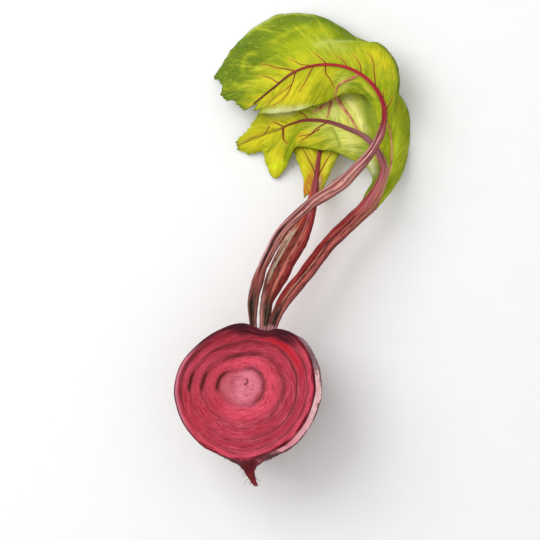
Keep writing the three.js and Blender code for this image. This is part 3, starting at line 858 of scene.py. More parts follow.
            (2.4, 0.2, tone(236, 238, 150), 0.7, [(0.45, 0.4), (0.43, 0.29), (0.4, 0.11)]),
            (2.4, 0.2, tone(222, 222, 130), 0.6, [(0.35, -0.08), (0.31, -0.52), (0.3, -0.75)]),
            (1.0, -0.5, tone(104, 132, 14), 0.8,
             [(0.41, -0.08), (0.38, -0.37), (0.36, -0.6), (0.345, -0.85)]),
            (1.1, -0.5, tone(96, 138, 6), 0.75,
             [(0.44, -0.12), (0.5, -0.35), (0.58, -0.6), (0.63, -0.75), (0.64, -0.9)]),
            (3.4, -0.3, tone(130, 156, 52), 0.75, [(0.37, 0.58), (0.34, 0.44), (0.3, 0.38), (0.26, 0.28)]),
            (2.0, 0.3, tone(230, 232, 156), 0.8, [(0.75, 0.98), (0.68, 0.8), (0.62, 0.6), (0.57, 0.48)]),
            (0.9, 0.0, tone(160, 156, 30), 0.5, [(0.97, 0.35), (0.94, 0.34), (0.88, 0.23), (0.78, 0.3)]),
            (1.4, 0.0, tone(232, 176, 44), 0.6, [(0.66, -0.6), (0.7, -0.66), (0.73, -0.7)]),
            (1.4, 0.0, tone(116, 138, 10), 0.6, [(0.33, 0.86), (0.29, 0.92), (0.22, 0.9), (0.15, 0.85)]),
            (2.6, 0.0, tone(200, 226, 44), 0.8, [(0.31, 0.7), (0.23, 0.62), (0.16, 0.4), (0.09, -0.07)]),
            (3.8, 0.0, tone(240, 255, 34), 0.85,
             [(0.76, -0.72), (0.72, -0.74), (0.68, -0.78), (0.64, -0.75)]),
            (2.4, 0.2, tone(240, 240, 196), 0.9, [(0.15, -0.85), (0.19, -0.68), (0.25, -0.6)]),
        ],
        "olive": [(0.3, 0.95, 0.1, 0.25, 0.4), (0.61, -0.85, 0.02, 0.3, 0.9),
                  (0.38, -0.55, 0.025, 0.4, 0.4),
                  (0.06, -0.8, 0.08, 0.4, 0.4)],
        "yellow": [(0.7, -0.8, 0.06, 0.4, 1.0), (0.9, 0.0, 0.2, 1.0, 1.0), (0.48, -0.6, 0.07, 0.4, 0.9),
                   (0.64, 0.2, 0.1, 0.35, 0.9), (0.2, 0.6, 0.14, 0.4, 0.15)],
        "pale": [(0.39, 0.15, 0.06, 0.4, 1.0), (0.33, -0.45, 0.06, 0.45, 1.0), (0.44, 0.4, 0.05, 0.3, 0.8),
                 (0.62, 0.75, 0.09, 0.25, 0.9), (0.45, -0.2, 0.03, 0.25, 0.4)],
        "blush": [(0.5, -0.55, 0.015, 0.1, 0.6)],
        "along": [(0.0, tone(150, 90, 80)), (0.06, tone(156, 78, 68)), (0.12, tone(158, 64, 58)),
                  (0.2, tone(160, 62, 58)), (0.27, tone(180, 88, 84)), (0.34, tone(206, 126, 118)),
                  (0.42, tone(186, 118, 118)), (0.5, tone(176, 118, 124)), (0.58, tone(156, 84, 88)),
                  (0.64, tone(146, 54, 54)), (0.72, tone(138, 52, 40)), (0.77, tone(150, 108, 40)),
                  (0.82, tone(190, 184, 36)), (1.0, tone(196, 192, 36))],
        "leftSide": tone(146, 46, 46),
        "rightSide": tone(204, 122, 112),
        "stripes": [
            (-0.5, 0.34, 0.075, 0.26, tone(146, 30, 34), 0.92),
            (-0.85, 0.1, 0.1, 0.26, tone(96, 26, 28), 0.8),
            (-0.05, 0.07, 0.09, 0.19, tone(246, 188, 162), 0.9),
            (0.12, 0.14, 0.075, 0.22, tone(44, 22, 20), 0.95),
            (0.05, 0.22, 0.2, 0.27, tone(120, 46, 40), 0.85),
            (0.66, 0.24, 0.07, 0.25, tone(200, 104, 98), 0.9),
            (-0.2, 0.1, 0.2, 0.3, tone(190, 104, 92), 0.7), (0.5, 0.1, 0.22, 0.34, tone(116, 42, 46), 0.8),
            (-0.6, 0.16, 0.27, 0.42, tone(166, 58, 64), 0.85),
            (-0.15, 0.2, 0.28, 0.44, tone(206, 116, 130), 0.85),
            (0.2, 0.08, 0.28, 0.4, tone(140, 60, 66), 0.8),
            (0.78, 0.2, 0.25, 0.4, tone(200, 148, 112), 0.85),
            (-0.2, 0.95, -0.1, 0.075, tone(36, 40, 28), 0.95),
            (-0.25, 0.07, -0.1, 0.085, tone(120, 104, 78), 0.8),
            (0.3, 0.3, -0.1, 0.085, tone(20, 26, 16), 1.0),
            (0.85, 0.22, -0.1, 0.1, tone(228, 138, 124), 0.95),
        ],
    },
    "middle_leaf": {
        "petiole": [(7.3, 27, 34), (7.6, 37, 34), (8.7, 47.4, 32), (12.9, 59.9, 28.5), (18.8, 72.9, 25),
                    (24.4, 84.2, 21.5), (29.2, 97, 18)],
        "rib": [(31, 107, 15.5), (32, 116, 13), (33, 127, 10), (34, 140, 7), (36, 153, 5), (38, 164, 3.5)],
        "outerEdge": [(35, 107, 12.5), (39, 118, 10), (44, 129, 7), (48, 141, 4), (48, 153, 1.5),
                      (43, 164, 0.5)],
        "innerEdge": [(25, 104, 12.5), (24.5, 115, 10), (20, 127, 7), (17, 138, 4), (20, 152, 1.5),
                      (31, 164, 0.5)],
        "halfWidths": [(0, 2.3), (0.07, 2.5), (0.11, 3.1), (0.16, 3.2), (0.2, 4.1), (0.25, 5.5),
                       (0.38, 5.9),
                       (0.43, 4.8), (0.52, 2.9), (0.65, 1.3), (1, 0.4)],
        "flatness": 0.5,
        "ruffle": (1, 3, 0),
        "teeth": (1.2, 1),
        "tipBulge": 0,
        "scallops": (0.3, 9),
        "rows": 140,
        "columns": 70,
        "strokes": 26,
        "sideVeins": [
            (1.0, [(0.1, 0.0), (0.28, 0.35), (0.42, 0.62)]),
            (1.0, [(0.15, 0.0), (0.33, -0.38), (0.48, -0.66)]),
            (0.9, [(0.4, 0.0), (0.55, 0.35), (0.68, 0.65)]),
            (0.9, [(0.45, 0.0), (0.6, -0.35), (0.72, -0.65)]),
            (0.8, [(0.65, 0.0), (0.78, 0.3), (0.86, 0.55)]),
            (0.8, [(0.68, 0.0), (0.8, -0.3), (0.88, -0.55)]),
        ],
        "pinkVeins": [],
        "fold": [],
        "creases": [
            (1.3, 0.2, tone(200, 72, 40), 0.85, [(0.0, -0.9), (0.05, -0.85), (0.14, -0.67), (0.27, -0.3)]),
            (0.9, 0.2, tone(176, 64, 60), 0.8, [(0.5, -0.1), (0.46, -0.04), (0.33, -0.1), (0.2, -0.2)]),
            (0.8, 0.1, tone(200, 92, 46), 0.75, [(0.34, 0.42), (0.3, 0.38), (0.2, 0.37), (0.1, 0.35)]),
            (2.0, 0.0, tone(232, 212, 30), 0.7, [(0.5, -0.87), (0.44, -0.71), (0.34, -0.72), (0.2, -0.9)]),
            (1.4, 0.0, tone(128, 152, 10), 0.6, [(0.5, 0.3), (0.41, 0.62), (0.3, 0.8), (0.15, 0.85)]),
            (2.6, 0.0, tone(255, 250, 76), 0.9, [(0.5, 0.5), (0.38, 0.55), (0.27, 0.58), (0.15, 0.62)]),
            (1.0, 0.2, tone(236, 186, 166), 0.85, [(0.0, 0.5), (0.08, 0.42), (0.18, 0.3)]),
        ],
        "olive": [(0.7, 0.8, 0.25, 0.4, 0.5), (0.3, -1.0, 0.5, 0.1, 0.6), (0.3, 1.0, 0.5, 0.1, 0.6)],
        "yellow": [(0.25, 0.0, 0.35, 1.2, 1.0)],
        "pale": [],
        "blush": [(0.0, -0.5, 0.16, 0.36, 0.9), (0.15, -0.3, 0.2, 0.2, 0.35), (0.12, 0.4, 0.14, 0.25, 0.5)],
        "along": [(0.0, tone(206, 146, 142)), (0.08, tone(176, 112, 98)), (0.18, tone(176, 86, 66)),
                  (0.28, tone(206, 92, 70)), (0.38, tone(208, 96, 76)), (0.47, tone(186, 70, 60)),
                  (0.56, tone(170, 70, 76)), (0.7, tone(162, 60, 70)), (1.0, tone(150, 80, 50))],
        # the left flank's tint and the first stripe below are painted highlights
        "leftSide": tone(214, 166, 136),
        "rightSide": tone(192, 78, 58),
        "stripes": [
            (-0.55, 0.24, 0.22, 0.42, tone(255, 236, 208), 1.0),
            (-0.2, 0.16, 0.2, 0.46, tone(176, 64, 50), 0.85),
            (0.05, 0.14, 0.17, 0.44, tone(92, 66, 56), 0.9),
            (0.32, 0.16, 0.2, 0.46, tone(222, 132, 118), 0.85),
            (0.55, 0.1, 0.2, 0.4, tone(120, 72, 64), 0.75),
            (0.85, 0.24, 0.14, 0.5, tone(206, 74, 74), 0.92),
            (-0.85, 0.14, 0.2, 0.34, tone(150, 62, 52), 0.85),
            (-0.35, 0.07, 0.16, 0.3, tone(84, 30, 34), 0.85),
            (-0.6, 0.3, 0.42, 0.6, tone(206, 84, 42), 0.8), (0.2, 0.2, 0.44, 0.66, tone(168, 92, 112), 0.7),
            (-0.4, 0.4, 0.16, 0.24, tone(140, 44, 40), 0.75),
            (0.3, 0.6, -0.1, 0.165, tone(62, 70, 52), 0.95),
            (0.15, 0.16, -0.1, 0.19, tone(30, 38, 26), 0.95), (0.7, 0.14, 0.04, 0.2, tone(28, 36, 24), 0.9),
            (-0.65, 0.26, -0.1, 0.19, tone(224, 158, 152), 0.95),
            (-0.3, 0.08, -0.1, 0.17, tone(136, 66, 66), 0.9),
        ],
    },
}
stalkShape = {
    "sides": 72,
    "rings": 330,
    "grooveDepth": 0.45,
    "grooveSharpness": 8,
    "crownHeight": 32.0,  # where along Y the stalks come out of the crown
    "tipLength": 1.2,
    "tipShare": 0.02,
    "stoutFrom": (0.6, 2.0),  # half widths between which ribs and lumps fade in
    # fine ribs round a stalk, and their share of its width
    "ribCounts": ((7, 0.05), (13, 0.035), (23, 0.02)),
    "ribDrift": (0.5, 45),  # the ribs wander: radians, wave length
    "lumps": ((0.14, 13), (0.04, 4)),  # height, wave length
    "strokeDrift": 0.3,  # of the streaked pattern: share of the ribs' drift, and pattern units per mm
    "strokeScale": 0.012,
    "stripeWander": (0.1, 24),  # share of the half width, wave length
    "ribFade": (-0.1, 0.08),  # shares of the length, before and after the blade's start
    "seed": 31,
    "seedStep": 7,
}
bladeShape = {
    "thickness": 0.6,
    "ribSink": 0.3,  # the blade meets the rib this share of its height below its middle
    "edgeThinning": 0.45,
    "arch": 0.09,
    "innerRuffle": 0.6,
    "frill": 0.45,
    "frillWaves": 3.1,  # for each wave of the ruffle
    "notchFrom": (0.72, 0.82),  # shares of the length between which the scallops start
    "notchSharpness": 8,
    "notchWander": (1.7, 28),
    "tipSharpness": 8,
    "tipSwell": (2.4, 0.4),
    "fineTeeth": ((0.28, 5.3, 1), (0.17, 11, 0)),  # share of the teeth's depth, count, phase
    "lowest": 0.35,
    "quilting": 0.8,
    "quiltFrom": (0.2, 6),  # mm from a vein
    "blisters": [(0.2, 6.5, 21)],  # height, wave length, seed
    "blistersFrom": (0.5, 3),
    "foldLift": 1.1,
    "foldWidth": 0.7,
    "foldReach": 7,
    "strokeSlant": 9,  # of the brushed pattern, towards the edges
    "strokeSpread": 2.6,
    "veinRadius": 0.36,
}


def frameOn(path, share):
    nudge = 1e-4
    along = unit(path(np.minimum(share + nudge, 1)) - path(np.maximum(share - nudge, 0)))
    aside = unit(np.cross(along, (0, 0, 1)))
    return path(share), along, aside, np.cross(aside, along)


def stalkPath(leaf):
    return curveThrough(leaf["petiole"] + leaf["rib"])


def ribStart(leaf):
    return len(leaf["petiole"]) / (len(leaf["petiole"]) + len(leaf["rib"]) - 1)


def halfWidth(leaf, share):
    shares, widths = zip(*leaf["halfWidths"])
    return np.interp(share, shares, widths)


# lays one colour over what is there, as paint with a share of cover
def overpaint(tint, cover, share, shade):
    share = share[..., None]
    return tint * (1 - share) + np.array(shade[:3]) * share, cover * (1 - share[..., 0]) + share[..., 0]


# the colours of a stalk's stripes, and how far they cover it
def stripesOn(leaf, share, across, rise):
    tint, cover = np.zeros(across.shape + (3,)), np.zeros(across.shape)
    for place, width, start, end, shade, strength in leaf["stripes"]:
        near = bell(across, place, width) * ease(rise, -0.3, 0.15)
        tint, cover = overpaint(tint, cover, strength * near * window(share, start, end, 0.03), shade)
    return tint / np.maximum(cover, 1e-6)[..., None], cover


# a tapering, ribbed tube with a groove along its upper side, closed at both ends
def stalkPiece(name, leaf, finish, seed, samples=4001):
    path, shape = stalkPath(leaf), stalkShape
    dense = np.linspace(0, 1, samples)
    line = path(dense)
    run = np.concatenate([[0], np.cumsum(np.linalg.norm(np.diff(line, axis=0), axis=1))])
    distance = np.linspace(0, run[-1], shape["rings"])
    share = np.interp(distance, run, dense)
    point, _, aside, above = frameOn(path, share)
    angle = np.linspace(0, 2 * np.pi, shape["sides"], endpoint=False)
    rise, side = np.sin(angle), np.cos(angle)
    groove = shape["grooveDepth"] * np.maximum(0, rise) ** shape["grooveSharpness"]
    foot = samples // 10  # a stalk leaves the crown within its first tenth
    fromCrown = distance - np.interp(shape["crownHeight"], line[:foot, 1], run[:foot])
    tipRound = np.sqrt(np.clip((run[-1] - distance) / shape["tipLength"], shape["tipShare"], 1))
    half = (halfWidth(leaf, share) * tipRound)[:, None]
    stout = ease(half, *shape["stoutFrom"])
    swing, length = shape["ribDrift"]
    drift = swing * ripple(point, length, seed + 2)[:, None]
    body = np.ones_like(drift + angle)
    for n, (count, depth) in enumerate(shape["ribCounts"]):
        body = body + stout * depth * np.cos(count * angle + (n + 1) * (seed + drift))
    width, height = half * side * body, half * leaf["flatness"] * (rise - groove) * body
    tube = point[:, None] + aside[:, None] * width[..., None] + above[:, None] * height[..., None]
    lump = layered(tube, [(tall, length, seed + n) for n, (tall, length) in enumerate(shape["lumps"])])
    tube = tube + unit(tube - point[:, None]) * (lump * stout)[..., None]
    rings, sides = tube.shape[:2]
    points = np.vstack([tube.reshape(-1, 3), point[:1], point[-1:]])
    i, k = np.meshgrid(np.arange(rings - 1), np.arange(sides), indexing="ij")
    a, b = (i * sides + k).ravel(), (i * sides + (k + 1) % sides).ravel()
    faces = np.stack([a, a + sides, b + sides, b], -1).tolist()
    first, last, ends = rings * sides, rings * sides + 1, (rings - 1) * sides
    for k in range(sides):
        faces.append([first, k, (k + 1) % sides])
        faces.append([last, ends + (k + 1) % sides, ends + k])

    # values for the rings, and for the middles of the two ends
    def spread(values, start, end):
        return np.concatenate([np.broadcast_to(values, (rings, sides)).ravel(), [start, end]])

    turned, onward = angle + shape["strokeDrift"] * drift, distance[:, None] * shape["strokeScale"]
    flow = np.stack(np.broadcast_arrays(np.cos(turned), np.sin(turned), onward), -1)
    wander, length = shape["stripeWander"]
    across = side[None, :] + wander * ripple(point * (1, 1, 0.2), length, seed + 5)[:, None]
    tint, cover = stripesOn(leaf, share[:, None], across, rise[None, :])
    attributes = {
        "alongStalk": spread(share[:, None], 0, 1),
        "fromCrown": spread(fromCrown[:, None], 0, run[-1]),
        "stalkFlow": np.vstack([flow.reshape(-1, 3), np.zeros((2, 3))]),
        "stripeTint": np.vstack([tint.reshape(-1, 3), np.zeros((2, 3))]),
        "stripeCover": spread(cover, 0, 0),
        "flank": spread(side[None, :], 0, 0),
        "isRib": spread(ease(share - ribStart(leaf), *shape["ribFade"])[:, None], 0, 1),
    }
    return buildPiece(name + "_stem", points, faces, attributes, [finish])


# points of a blade at shares along and across it: its edges, ruffles, scallops and teeth
def bladePoints(leaf, u, v):
    u, v = np.broadcast_arrays(np.asarray(u, float), np.asarray(v, float))
    path, shape = stalkPath(leaf), bladeShape
    outer, inner = curveThrough(leaf["outerEdge"]), curveThrough(leaf["innerEdge"])
    share = ribStart(leaf) + (1 - ribStart(leaf)) * u
    point, along, _, above = frameOn(path, share)
    sink = shape["ribSink"] * halfWidth(leaf, share) * leaf["flatness"]
    point = point - above * sink[..., None]
    edge = np.where((v < 0)[..., None], inner(u), outer(u))
    out, middle = np.abs(v), np.sin(np.pi * u)
    reach = np.linalg.norm(edge - point, axis=-1)
    depth, count = leaf["scallops"]
    wander, turns = shape["notchWander"]
    beat = np.abs(np.sin(np.pi * count * u + v + wander * np.sin(turns * u)))
    notch = depth * ease(u, *shape["notchFrom"]) * out ** shape["notchSharpness"] * beat
    point = point + (edge - point) * (out - notch / np.maximum(reach, 1))[..., None]
    height, waves, phase = leaf["ruffle"]
    turn = 2 * np.pi * waves * u
    swing = height * np.where(v < 0, shape["innerRuffle"], 1) * out**2 * middle
    wave = swing * np.sin(turn + phase + v)
    frill = shape["frill"] * out**4 * middle * np.sin(shape["frillWaves"] * turn + 2 * phase + 2 * v)
    arch = shape["arch"] * reach * 4 * out**1.5 * (1 - out)
    point = point + above * (arch + wave + frill)[..., None]
    depth, count = leaf["teeth"]
    swell, skew = shape["tipSwell"]
    bite = leaf["tipBulge"] * swell * np.maximum(v, 0) ** skew * (1 - v)
    for part, teeth, shift in ((1, count, np.pi / 2), *shape["fineTeeth"]):
        bite = bite + part * depth * np.sin(2 * np.pi * teeth * v + shift)
    return point + along * (u ** shape["tipSharpness"] * bite)[..., None]


def surfaceNormals(grid):
    return unit(np.cross(np.gradient(grid, axis=1), np.gradient(grid, axis=0)))


# a smooth line in leaf shares through given marks
def shareLine(marks, samples=40):
    return curveThrough([(*mark, 0) for mark in marks])(np.linspace(0, 1, samples))[:, :2]


def gapToVeins(leaf, points):
    lines = [bladePoints(leaf, *shareLine(marks).T) for _, marks in leaf["sideVeins"] + leaf["pinkVeins"]]
    lines.append(bladePoints(leaf, np.linspace(0, 1, 120), 0.0))
    return nearestGap(points, np.vstack(lines))[0]


# gap to the fold line, above zero on the rib's side of it, seen from above
def gapToFold(leaf, points):
    line = bladePoints(leaf, *shareLine(leaf["fold"], 90).T)[:, :2]
    plan = points[..., :2]
    gap, pick = nearestGap(plan, line)
    ahead = np.gradient(line, axis=0)[pick]
    aside = plan - line[pick]
    return gap * np.sign(ahead[..., 0] * aside[..., 1] - ahead[..., 1] * aside[..., 0])


def patches(spots, u, v):
    total = np.zeros(np.broadcast_shapes(u.shape, v.shape))
    for atU, atV, longU, wideV, strength in spots:
        total += strength * bell(u, atU, longU) * bell(v, atV, wideV)
    return np.minimum(total, 1)


# the painted strokes of a blade, many of them painted highlights and painted shade along its folds: how far
# they lift it, their colours and how far they cover it
def creasesOn(leaf, points):
    lift, cover = np.zeros(points.shape[:-1]), np.zeros(points.shape[:-1])
    tint = np.zeros(points.shape)
    for width, height, shade, strength, marks in leaf["creases"]:
        line = bladePoints(leaf, *shareLine(marks, 60).T)
        gap, pick = nearestGap(points, line)
        fade = ease(np.minimum(pick, len(line) - 1 - pick) / len(line), -0.1, 0.25)
        near = bell(gap, 0, width) * fade
        lift = lift + height * near
        tint, cover = overpaint(tint, cover, strength * near, shade)
    return lift, tint / np.maximum(cover, 1e-6)[..., None], cover


# the middle of a blade's thickness: puffed up between its veins, and stepped at its fold
def bladeMiddle(leaf, u, v):
    shape = bladeShape
    middle = bladePoints(leaf, u, v)
    lift, tint, cover = creasesOn(leaf, middle)
    near = gapToVeins(leaf, middle)
    puff = shape["quilting"] * (ease(near, *shape["quiltFrom"]) - 0.5) * (1 - np.abs(v) ** 6)
    puff = puff + layered(middle, shape["blisters"]) * ease(near, *shape["blistersFrom"])
    lobe = np.zeros_like(puff)
    if leaf["fold"]:
        fromFold = gapToFold(leaf, middle)
        lobe = ease(fromFold, -shape["foldWidth"], shape["foldWidth"])
        puff = puff + shape["foldLift"] * (lobe - 0.5) * bell(fromFold, 0, shape["foldReach"])
    middle = middle + surfaceNormals(middle) * (puff + lift)[..., None]
    middle[..., 2] = np.maximum(middle[..., 2], shape["lowest"])
    return middle, near, lobe, tint, cover


# a thin sheet with an upper and a lower face and a rim round both, and its upper face as a grid
def bladePiece(name, leaf, finish):
    rows, columns = leaf["rows"], leaf["columns"] + 1
    u = np.linspace(0, 1, rows)[:, None]
    v = np.linspace(-1, 1, columns)[None, :]
    middle, near, lobe, tint, cover = bladeMiddle(leaf, u, v)
    thin = bladeShape["thickness"] / 2 * (1 - bladeShape["edgeThinning"] * np.abs(v) ** 8)
    lift = surfaceNormals(middle) * thin[..., None]
    points = np.vstack([(middle + lift).reshape(-1, 3), (middle - lift).reshape(-1, 3)])
    count = rows * columns
    top = gridFaces(rows, columns)
    under = gridFaces(rows, columns, offset=count)[:, ::-1]
    index = np.arange(count).reshape(rows, columns)
    rim = np.concatenate([index[0, :-1], index[:-1, -1], index[-1, :0:-1], index[:0:-1, 0]])
    ahead = np.roll(rim, -1)
    side = np.stack([ahead, rim, rim + count, ahead + count], -1)
    faces = np.vstack([top, under, side]).tolist()

    def onBoth(values):
        return np.tile(np.broadcast_to(values, (rows, columns)).ravel(), 2)

    onward = u * leaf["strokes"] - np.abs(v) * bladeShape["strokeSlant"]
    flow = np.stack(np.broadcast_arrays(onward, v * bladeShape["strokeSpread"], 0), -1)
    edgeGap = np.minimum(1 - np.abs(v), np.minimum(u, 1 - u) * 2)
    attributes = {
        "leafFlow": np.tile(flow.reshape(-1, 3), (2, 1)),
        "creaseTint": np.tile(tint.reshape(-1, 3), (2, 1)),
        "underside": np.repeat([0.0, 1.0], count),
    }
    for key, values in {"veinGap": near, "edgeGap": edgeGap, "lobe": lobe, "creaseCover": cover}.items():
        attributes[key] = onBoth(values)
    for key in ("olive", "yellow", "pale", "blush"):
        attributes[key] = onBoth(patches(leaf[key], u, v))
    return buildPiece(name + "_leaf", points, faces, attributes, [finish]), middle + lift


# the place on a grid of points at shares along and across it
def placeOn(grid, u, v):
    rows, columns = grid.shape[:2]
    i, j = np.clip(u, 0, 1) * (rows - 1), np.clip((v + 1) / 2, 0, 1) * (columns - 1)
    i0, j0 = np.minimum(i.astype(int), rows - 2), np.minimum(j.astype(int), columns - 2)
    fi, fj = (i - i0)[:, None], (j - j0)[:, None]
    low = grid[i0, j0] * (1 - fj) + grid[i0, j0 + 1] * fj
    high = grid[i0 + 1, j0] * (1 - fj) + grid[i0 + 1, j0 + 1] * fj
    return low * (1 - fi) + high * fi


# tree that turns vein lines into tapering round ridges
def veinTree():
    tree = bpy.data.node_groups.new("veinRidges", "GeometryNodeTree")
    face = tree.interface
    face.new_socket("Lines", in_out="INPUT", socket_type="NodeSocketGeometry")
    face.new_socket("Ridge Radius", in_out="INPUT", socket_type="NodeSocketFloat").default_value = 0.0003
    face.new_socket("Sides", in_out="INPUT", socket_type="NodeSocketInt").default_value = 8
    face.new_socket("Finish", in_out="INPUT", socket_type="NodeSocketMaterial")
    face.new_socket("Ridges", in_out="OUTPUT", socket_type="NodeSocketGeometry")
    new, link = tree.nodes.new, tree.links.new
    source, result = new("NodeGroupInput"), new("NodeGroupOutput")
    curve, ring = new("GeometryNodeMeshToCurve"), new("GeometryNodeCurvePrimitiveCircle")
    sweep, taper = new("GeometryNodeCurveToMesh"), new("GeometryNodeInputNamedAttribute")
    smooth, realize = new("GeometryNodeSetShadeSmooth"), new("GeometryNodeRealizeInstances")
    finish = new("GeometryNodeSetMaterial")
    taper.data_type = "FLOAT"
    taper.inputs["Name"].default_value = "taper"
    sweep.inputs["Fill Caps"].default_value = True
    link(source.outputs["Lines"], curve.inputs["Mesh"])
    link(source.outputs["Sides"], ring.inputs["Resolution"])
    link(source.outputs["Ridge Radius"], ring.inputs["Radius"])
    link(curve.outputs["Curve"], sweep.inputs["Curve"])
    link(ring.outputs["Curve"], sweep.inputs["Profile Curve"])
    link(taper.outputs["Attribute"], sweep.inputs["Scale"])
    link(sweep.outputs["Mesh"], smooth.inputs["Geometry"])
    link(smooth.outputs["Geometry"], realize.inputs["Geometry"])
    link(realize.outputs["Geometry"], finish.inputs["Geometry"])
    link(source.outputs["Finish"], finish.inputs["Material"])
    link(finish.outputs["Geometry"], result.inputs["Ridges"])
    return tree


# runs a tree on a carrier object, which then holds the plain mesh it made
def growOn(carrier, tree, values):
    modifier = carrier.modifiers.new(tree.name, "NODES")
    modifier.node_group = tree
    for item in tree.interface.items_tree:
        if item.item_type == "SOCKET" and item.in_out == "INPUT" and item.name in values:
            modifier[item.identifier] = values[item.name]
    grown = carrier.evaluated_get(bpy.context.evaluated_depsgraph_get())
    mesh = bpy.data.meshes.new_from_object(grown)
    carrier.modifiers.remove(modifier)
    carrier.data = mesh
    return carrier


# lines, each with its width and how pink it is, grown into ridges that taper to their ends
def ridgePiece(name, lines, radius, tree, finish, endShare=0.35, sides=8):
    points, edges, taper, pink = [], [], [], []
    for line, width, isPink in lines:
        start = len(points)
        points.extend(line.tolist())
        edges.extend((start + n, start + n + 1) for n in range(len(line) - 1))
        taper.extend(width * np.linspace(1.0, endShare, len(line)))
        pink.extend([isPink] * len(line))
    mesh = bpy.data.meshes.new(name)
    mesh.from_pydata((np.array(points) * mm).tolist(), edges, [])
    addPatterns(mesh, {"taper": taper, "pink": pink})
    values = {"Ridge Radius": radius * mm, "Sides": sides, "Finish": finish}
    return growOn(addToScene(name, mesh), tree, values)


def veinPiece(name, leaf, surface, tree, finish):
    lines = []
    for key, isPink in (("sideVeins", 0.0), ("pinkVeins", 1.0)):
        for width, marks in leaf[key]:
            lines.append((placeOn(surface, *shareLine(marks).T), width, isPink))
    return ridgePiece(name + "_veins", lines, bladeShape["veinRadius"], tree, finish)


# fine rootlets that stand out from the tap root and droop
rootlets = {
    "count": 26,
    "heights": (-48.5, -39),
    "lengths": (1.6, 4.6),
    "widths": (0.7, 1.3),
    "radius": 0.13,
    "sunk": 0.8,  # share of the tap root's radius where a rootlet starts
    "steps": 12,
    "lean": 0.08,  # towards the tap root's end
    "trail": 0.15,
    "droop": 0.45,
    "scatter": 0.06,
    "kink": 0.12,
    "seed": 17,
}


def rootletPiece(tree, finish):
    dice = np.random.default_rng(rootlets["seed"])
    radii, heights = profileRows()
    low = heights < 0
    along = np.linspace(0, 1, rootlets["steps"])[:, None]
    lines = []
    for _ in range(rootlets["count"]):
        height, angle = dice.uniform(*rootlets["heights"]), dice.uniform(0, 2 * np.pi)
        radius = np.interp(height, heights[low], radii[low])
        reach = radius * np.array((rootlets["sunk"], 1.0))
        inside, outside = layDown(skinPoints(reach, np.array((height, height)), angle))
        length = dice.uniform(*rootlets["lengths"])
        lean = np.array((0, -rootlets["lean"] * radius, 0))
        outward = unit(outside - inside + lean + dice.normal(scale=rootlets["scatter"], size=3))
        sag = np.array((0, -rootlets["trail"], -rootlets["droop"])) * length * along**2
        kink = dice.normal(scale=rootlets["kink"], size=3) * np.sin(2 * np.pi * along)
        line = inside + outward * length * along + sag + kink
        lines.append((line, dice.uniform(*rootlets["widths"]), 0.0))
    return ridgePiece("tap_rootlets", lines, rootlets["radius"], tree, finish)


def rootletMaterial():
    hair = Finish("rootletSkin", 0.6, 0.1)
    shade = hair.noise(hair.place(), 500.0, 3.0)
    colour = hair.mix(hair.span(shade, 0.35, 0.65), tone(84, 28, 30), tone(132, 70, 60))
    return hair.done(colour, hair.span(shade, 0.3, 0.7, 0.5, 0.68), hair.bump(shade, 0.0001, 0.5))


def stalkMaterial(name, leaf):
    stalk = Finish(name + "Stalk", 0.5, 0.1)
    flow, flank = stalk.attribute("stalkFlow", vector=True), stalk.attribute("flank")
    stripe = stalk.noise(flow, 3.4, 3.0, 0.55)
    thread = stalk.noise(stalk.stretch(flow, (3.2, 3.2, 1.0)), 3.4, 2.0, 0.5)
    dab = stalk.noise(stalk.stretch(flow, (1.3, 1.3, 4.5)), 2.6, 3.0, 0.6, 0.4)
    petiole = stalk.span(stalk.attribute("isRib"), 0.0, 1.0, 1.0, 0.0)
    mostlyPetiole = stalk.span(petiole, 0.0, 1.0, 0.25, 1.0)
    bare = stalk.span(stalk.attribute("stripeCover"), 0.1, 0.9, 1.0, 0.04)
    colour = stalk.ramp(stalk.attribute("alongStalk"), leaf["along"])
    # flank tints; on the middle leaf the left one is a painted highlight
    colour = stalk.lay(colour, flank, (-0.9, -0.15), (0.6, 0.0), leaf["leftSide"], petiole)
    colour = stalk.lay(colour, flank, (0.15, 0.9), (0.0, 0.6), leaf["rightSide"], petiole)
    colour = stalk.lay(colour, stripe, (0.53, 0.6), (0.0, 0.45), tone(150, 100, 100), blend="MULTIPLY")
    colour = stalk.lay(colour, stripe, (0.38, 0.46), (0.45, 0.0), tone(222, 154, 146), mostlyPetiole)
    # stripes laid on, broken up by a fine pattern: the palest partly painted highlights, the near-black
    # ones at the foot partly painted shade
    brokenCover = stalk.span(thread, 0.35, 0.55, 0.95, 1.0)
    colour = stalk.mark(colour, "stripeCover", brokenCover, stalk.attribute("stripeTint", vector=True))
    colour = stalk.lay(colour, thread, (0.53, 0.6), (0.0, 0.7), tone(130, 78, 78), blend="MULTIPLY")
    colour = stalk.lay(colour, thread, (0.36, 0.43), (0.3, 0.0), tone(228, 166, 154), bare)
    colour = stalk.lay(colour, dab, (0.54, 0.64), (0.0, 0.75), tone(140, 84, 84), petiole, "MULTIPLY")
    colour = stalk.lay(colour, dab, (0.36, 0.45), (0.35, 0.0), tone(208, 96, 82), petiole)
    fromMiddle = stalk.product(flank, flank)
    colour = stalk.lay(colour, fromMiddle, (0.74, 0.97), (0.0, 0.6), tone(92, 30, 34), petiole)
    streaked, fromCrown = stalk.span(stripe, 0.4, 0.6, 1.0, 0.4), stalk.attribute("fromCrown")
    colour = stalk.lay(colour, fromCrown, (0.4, 2.4), (0.85, 0.0), tone(214, 150, 158), streaked)
    normal = stalk.bump(thread, 0.0004, 0.6, stalk.bump(stripe, 0.0007, 0.6))
    return stalk.done(colour, stalk.span(thread, 0.3, 0.7, 0.4, 0.58), normal)


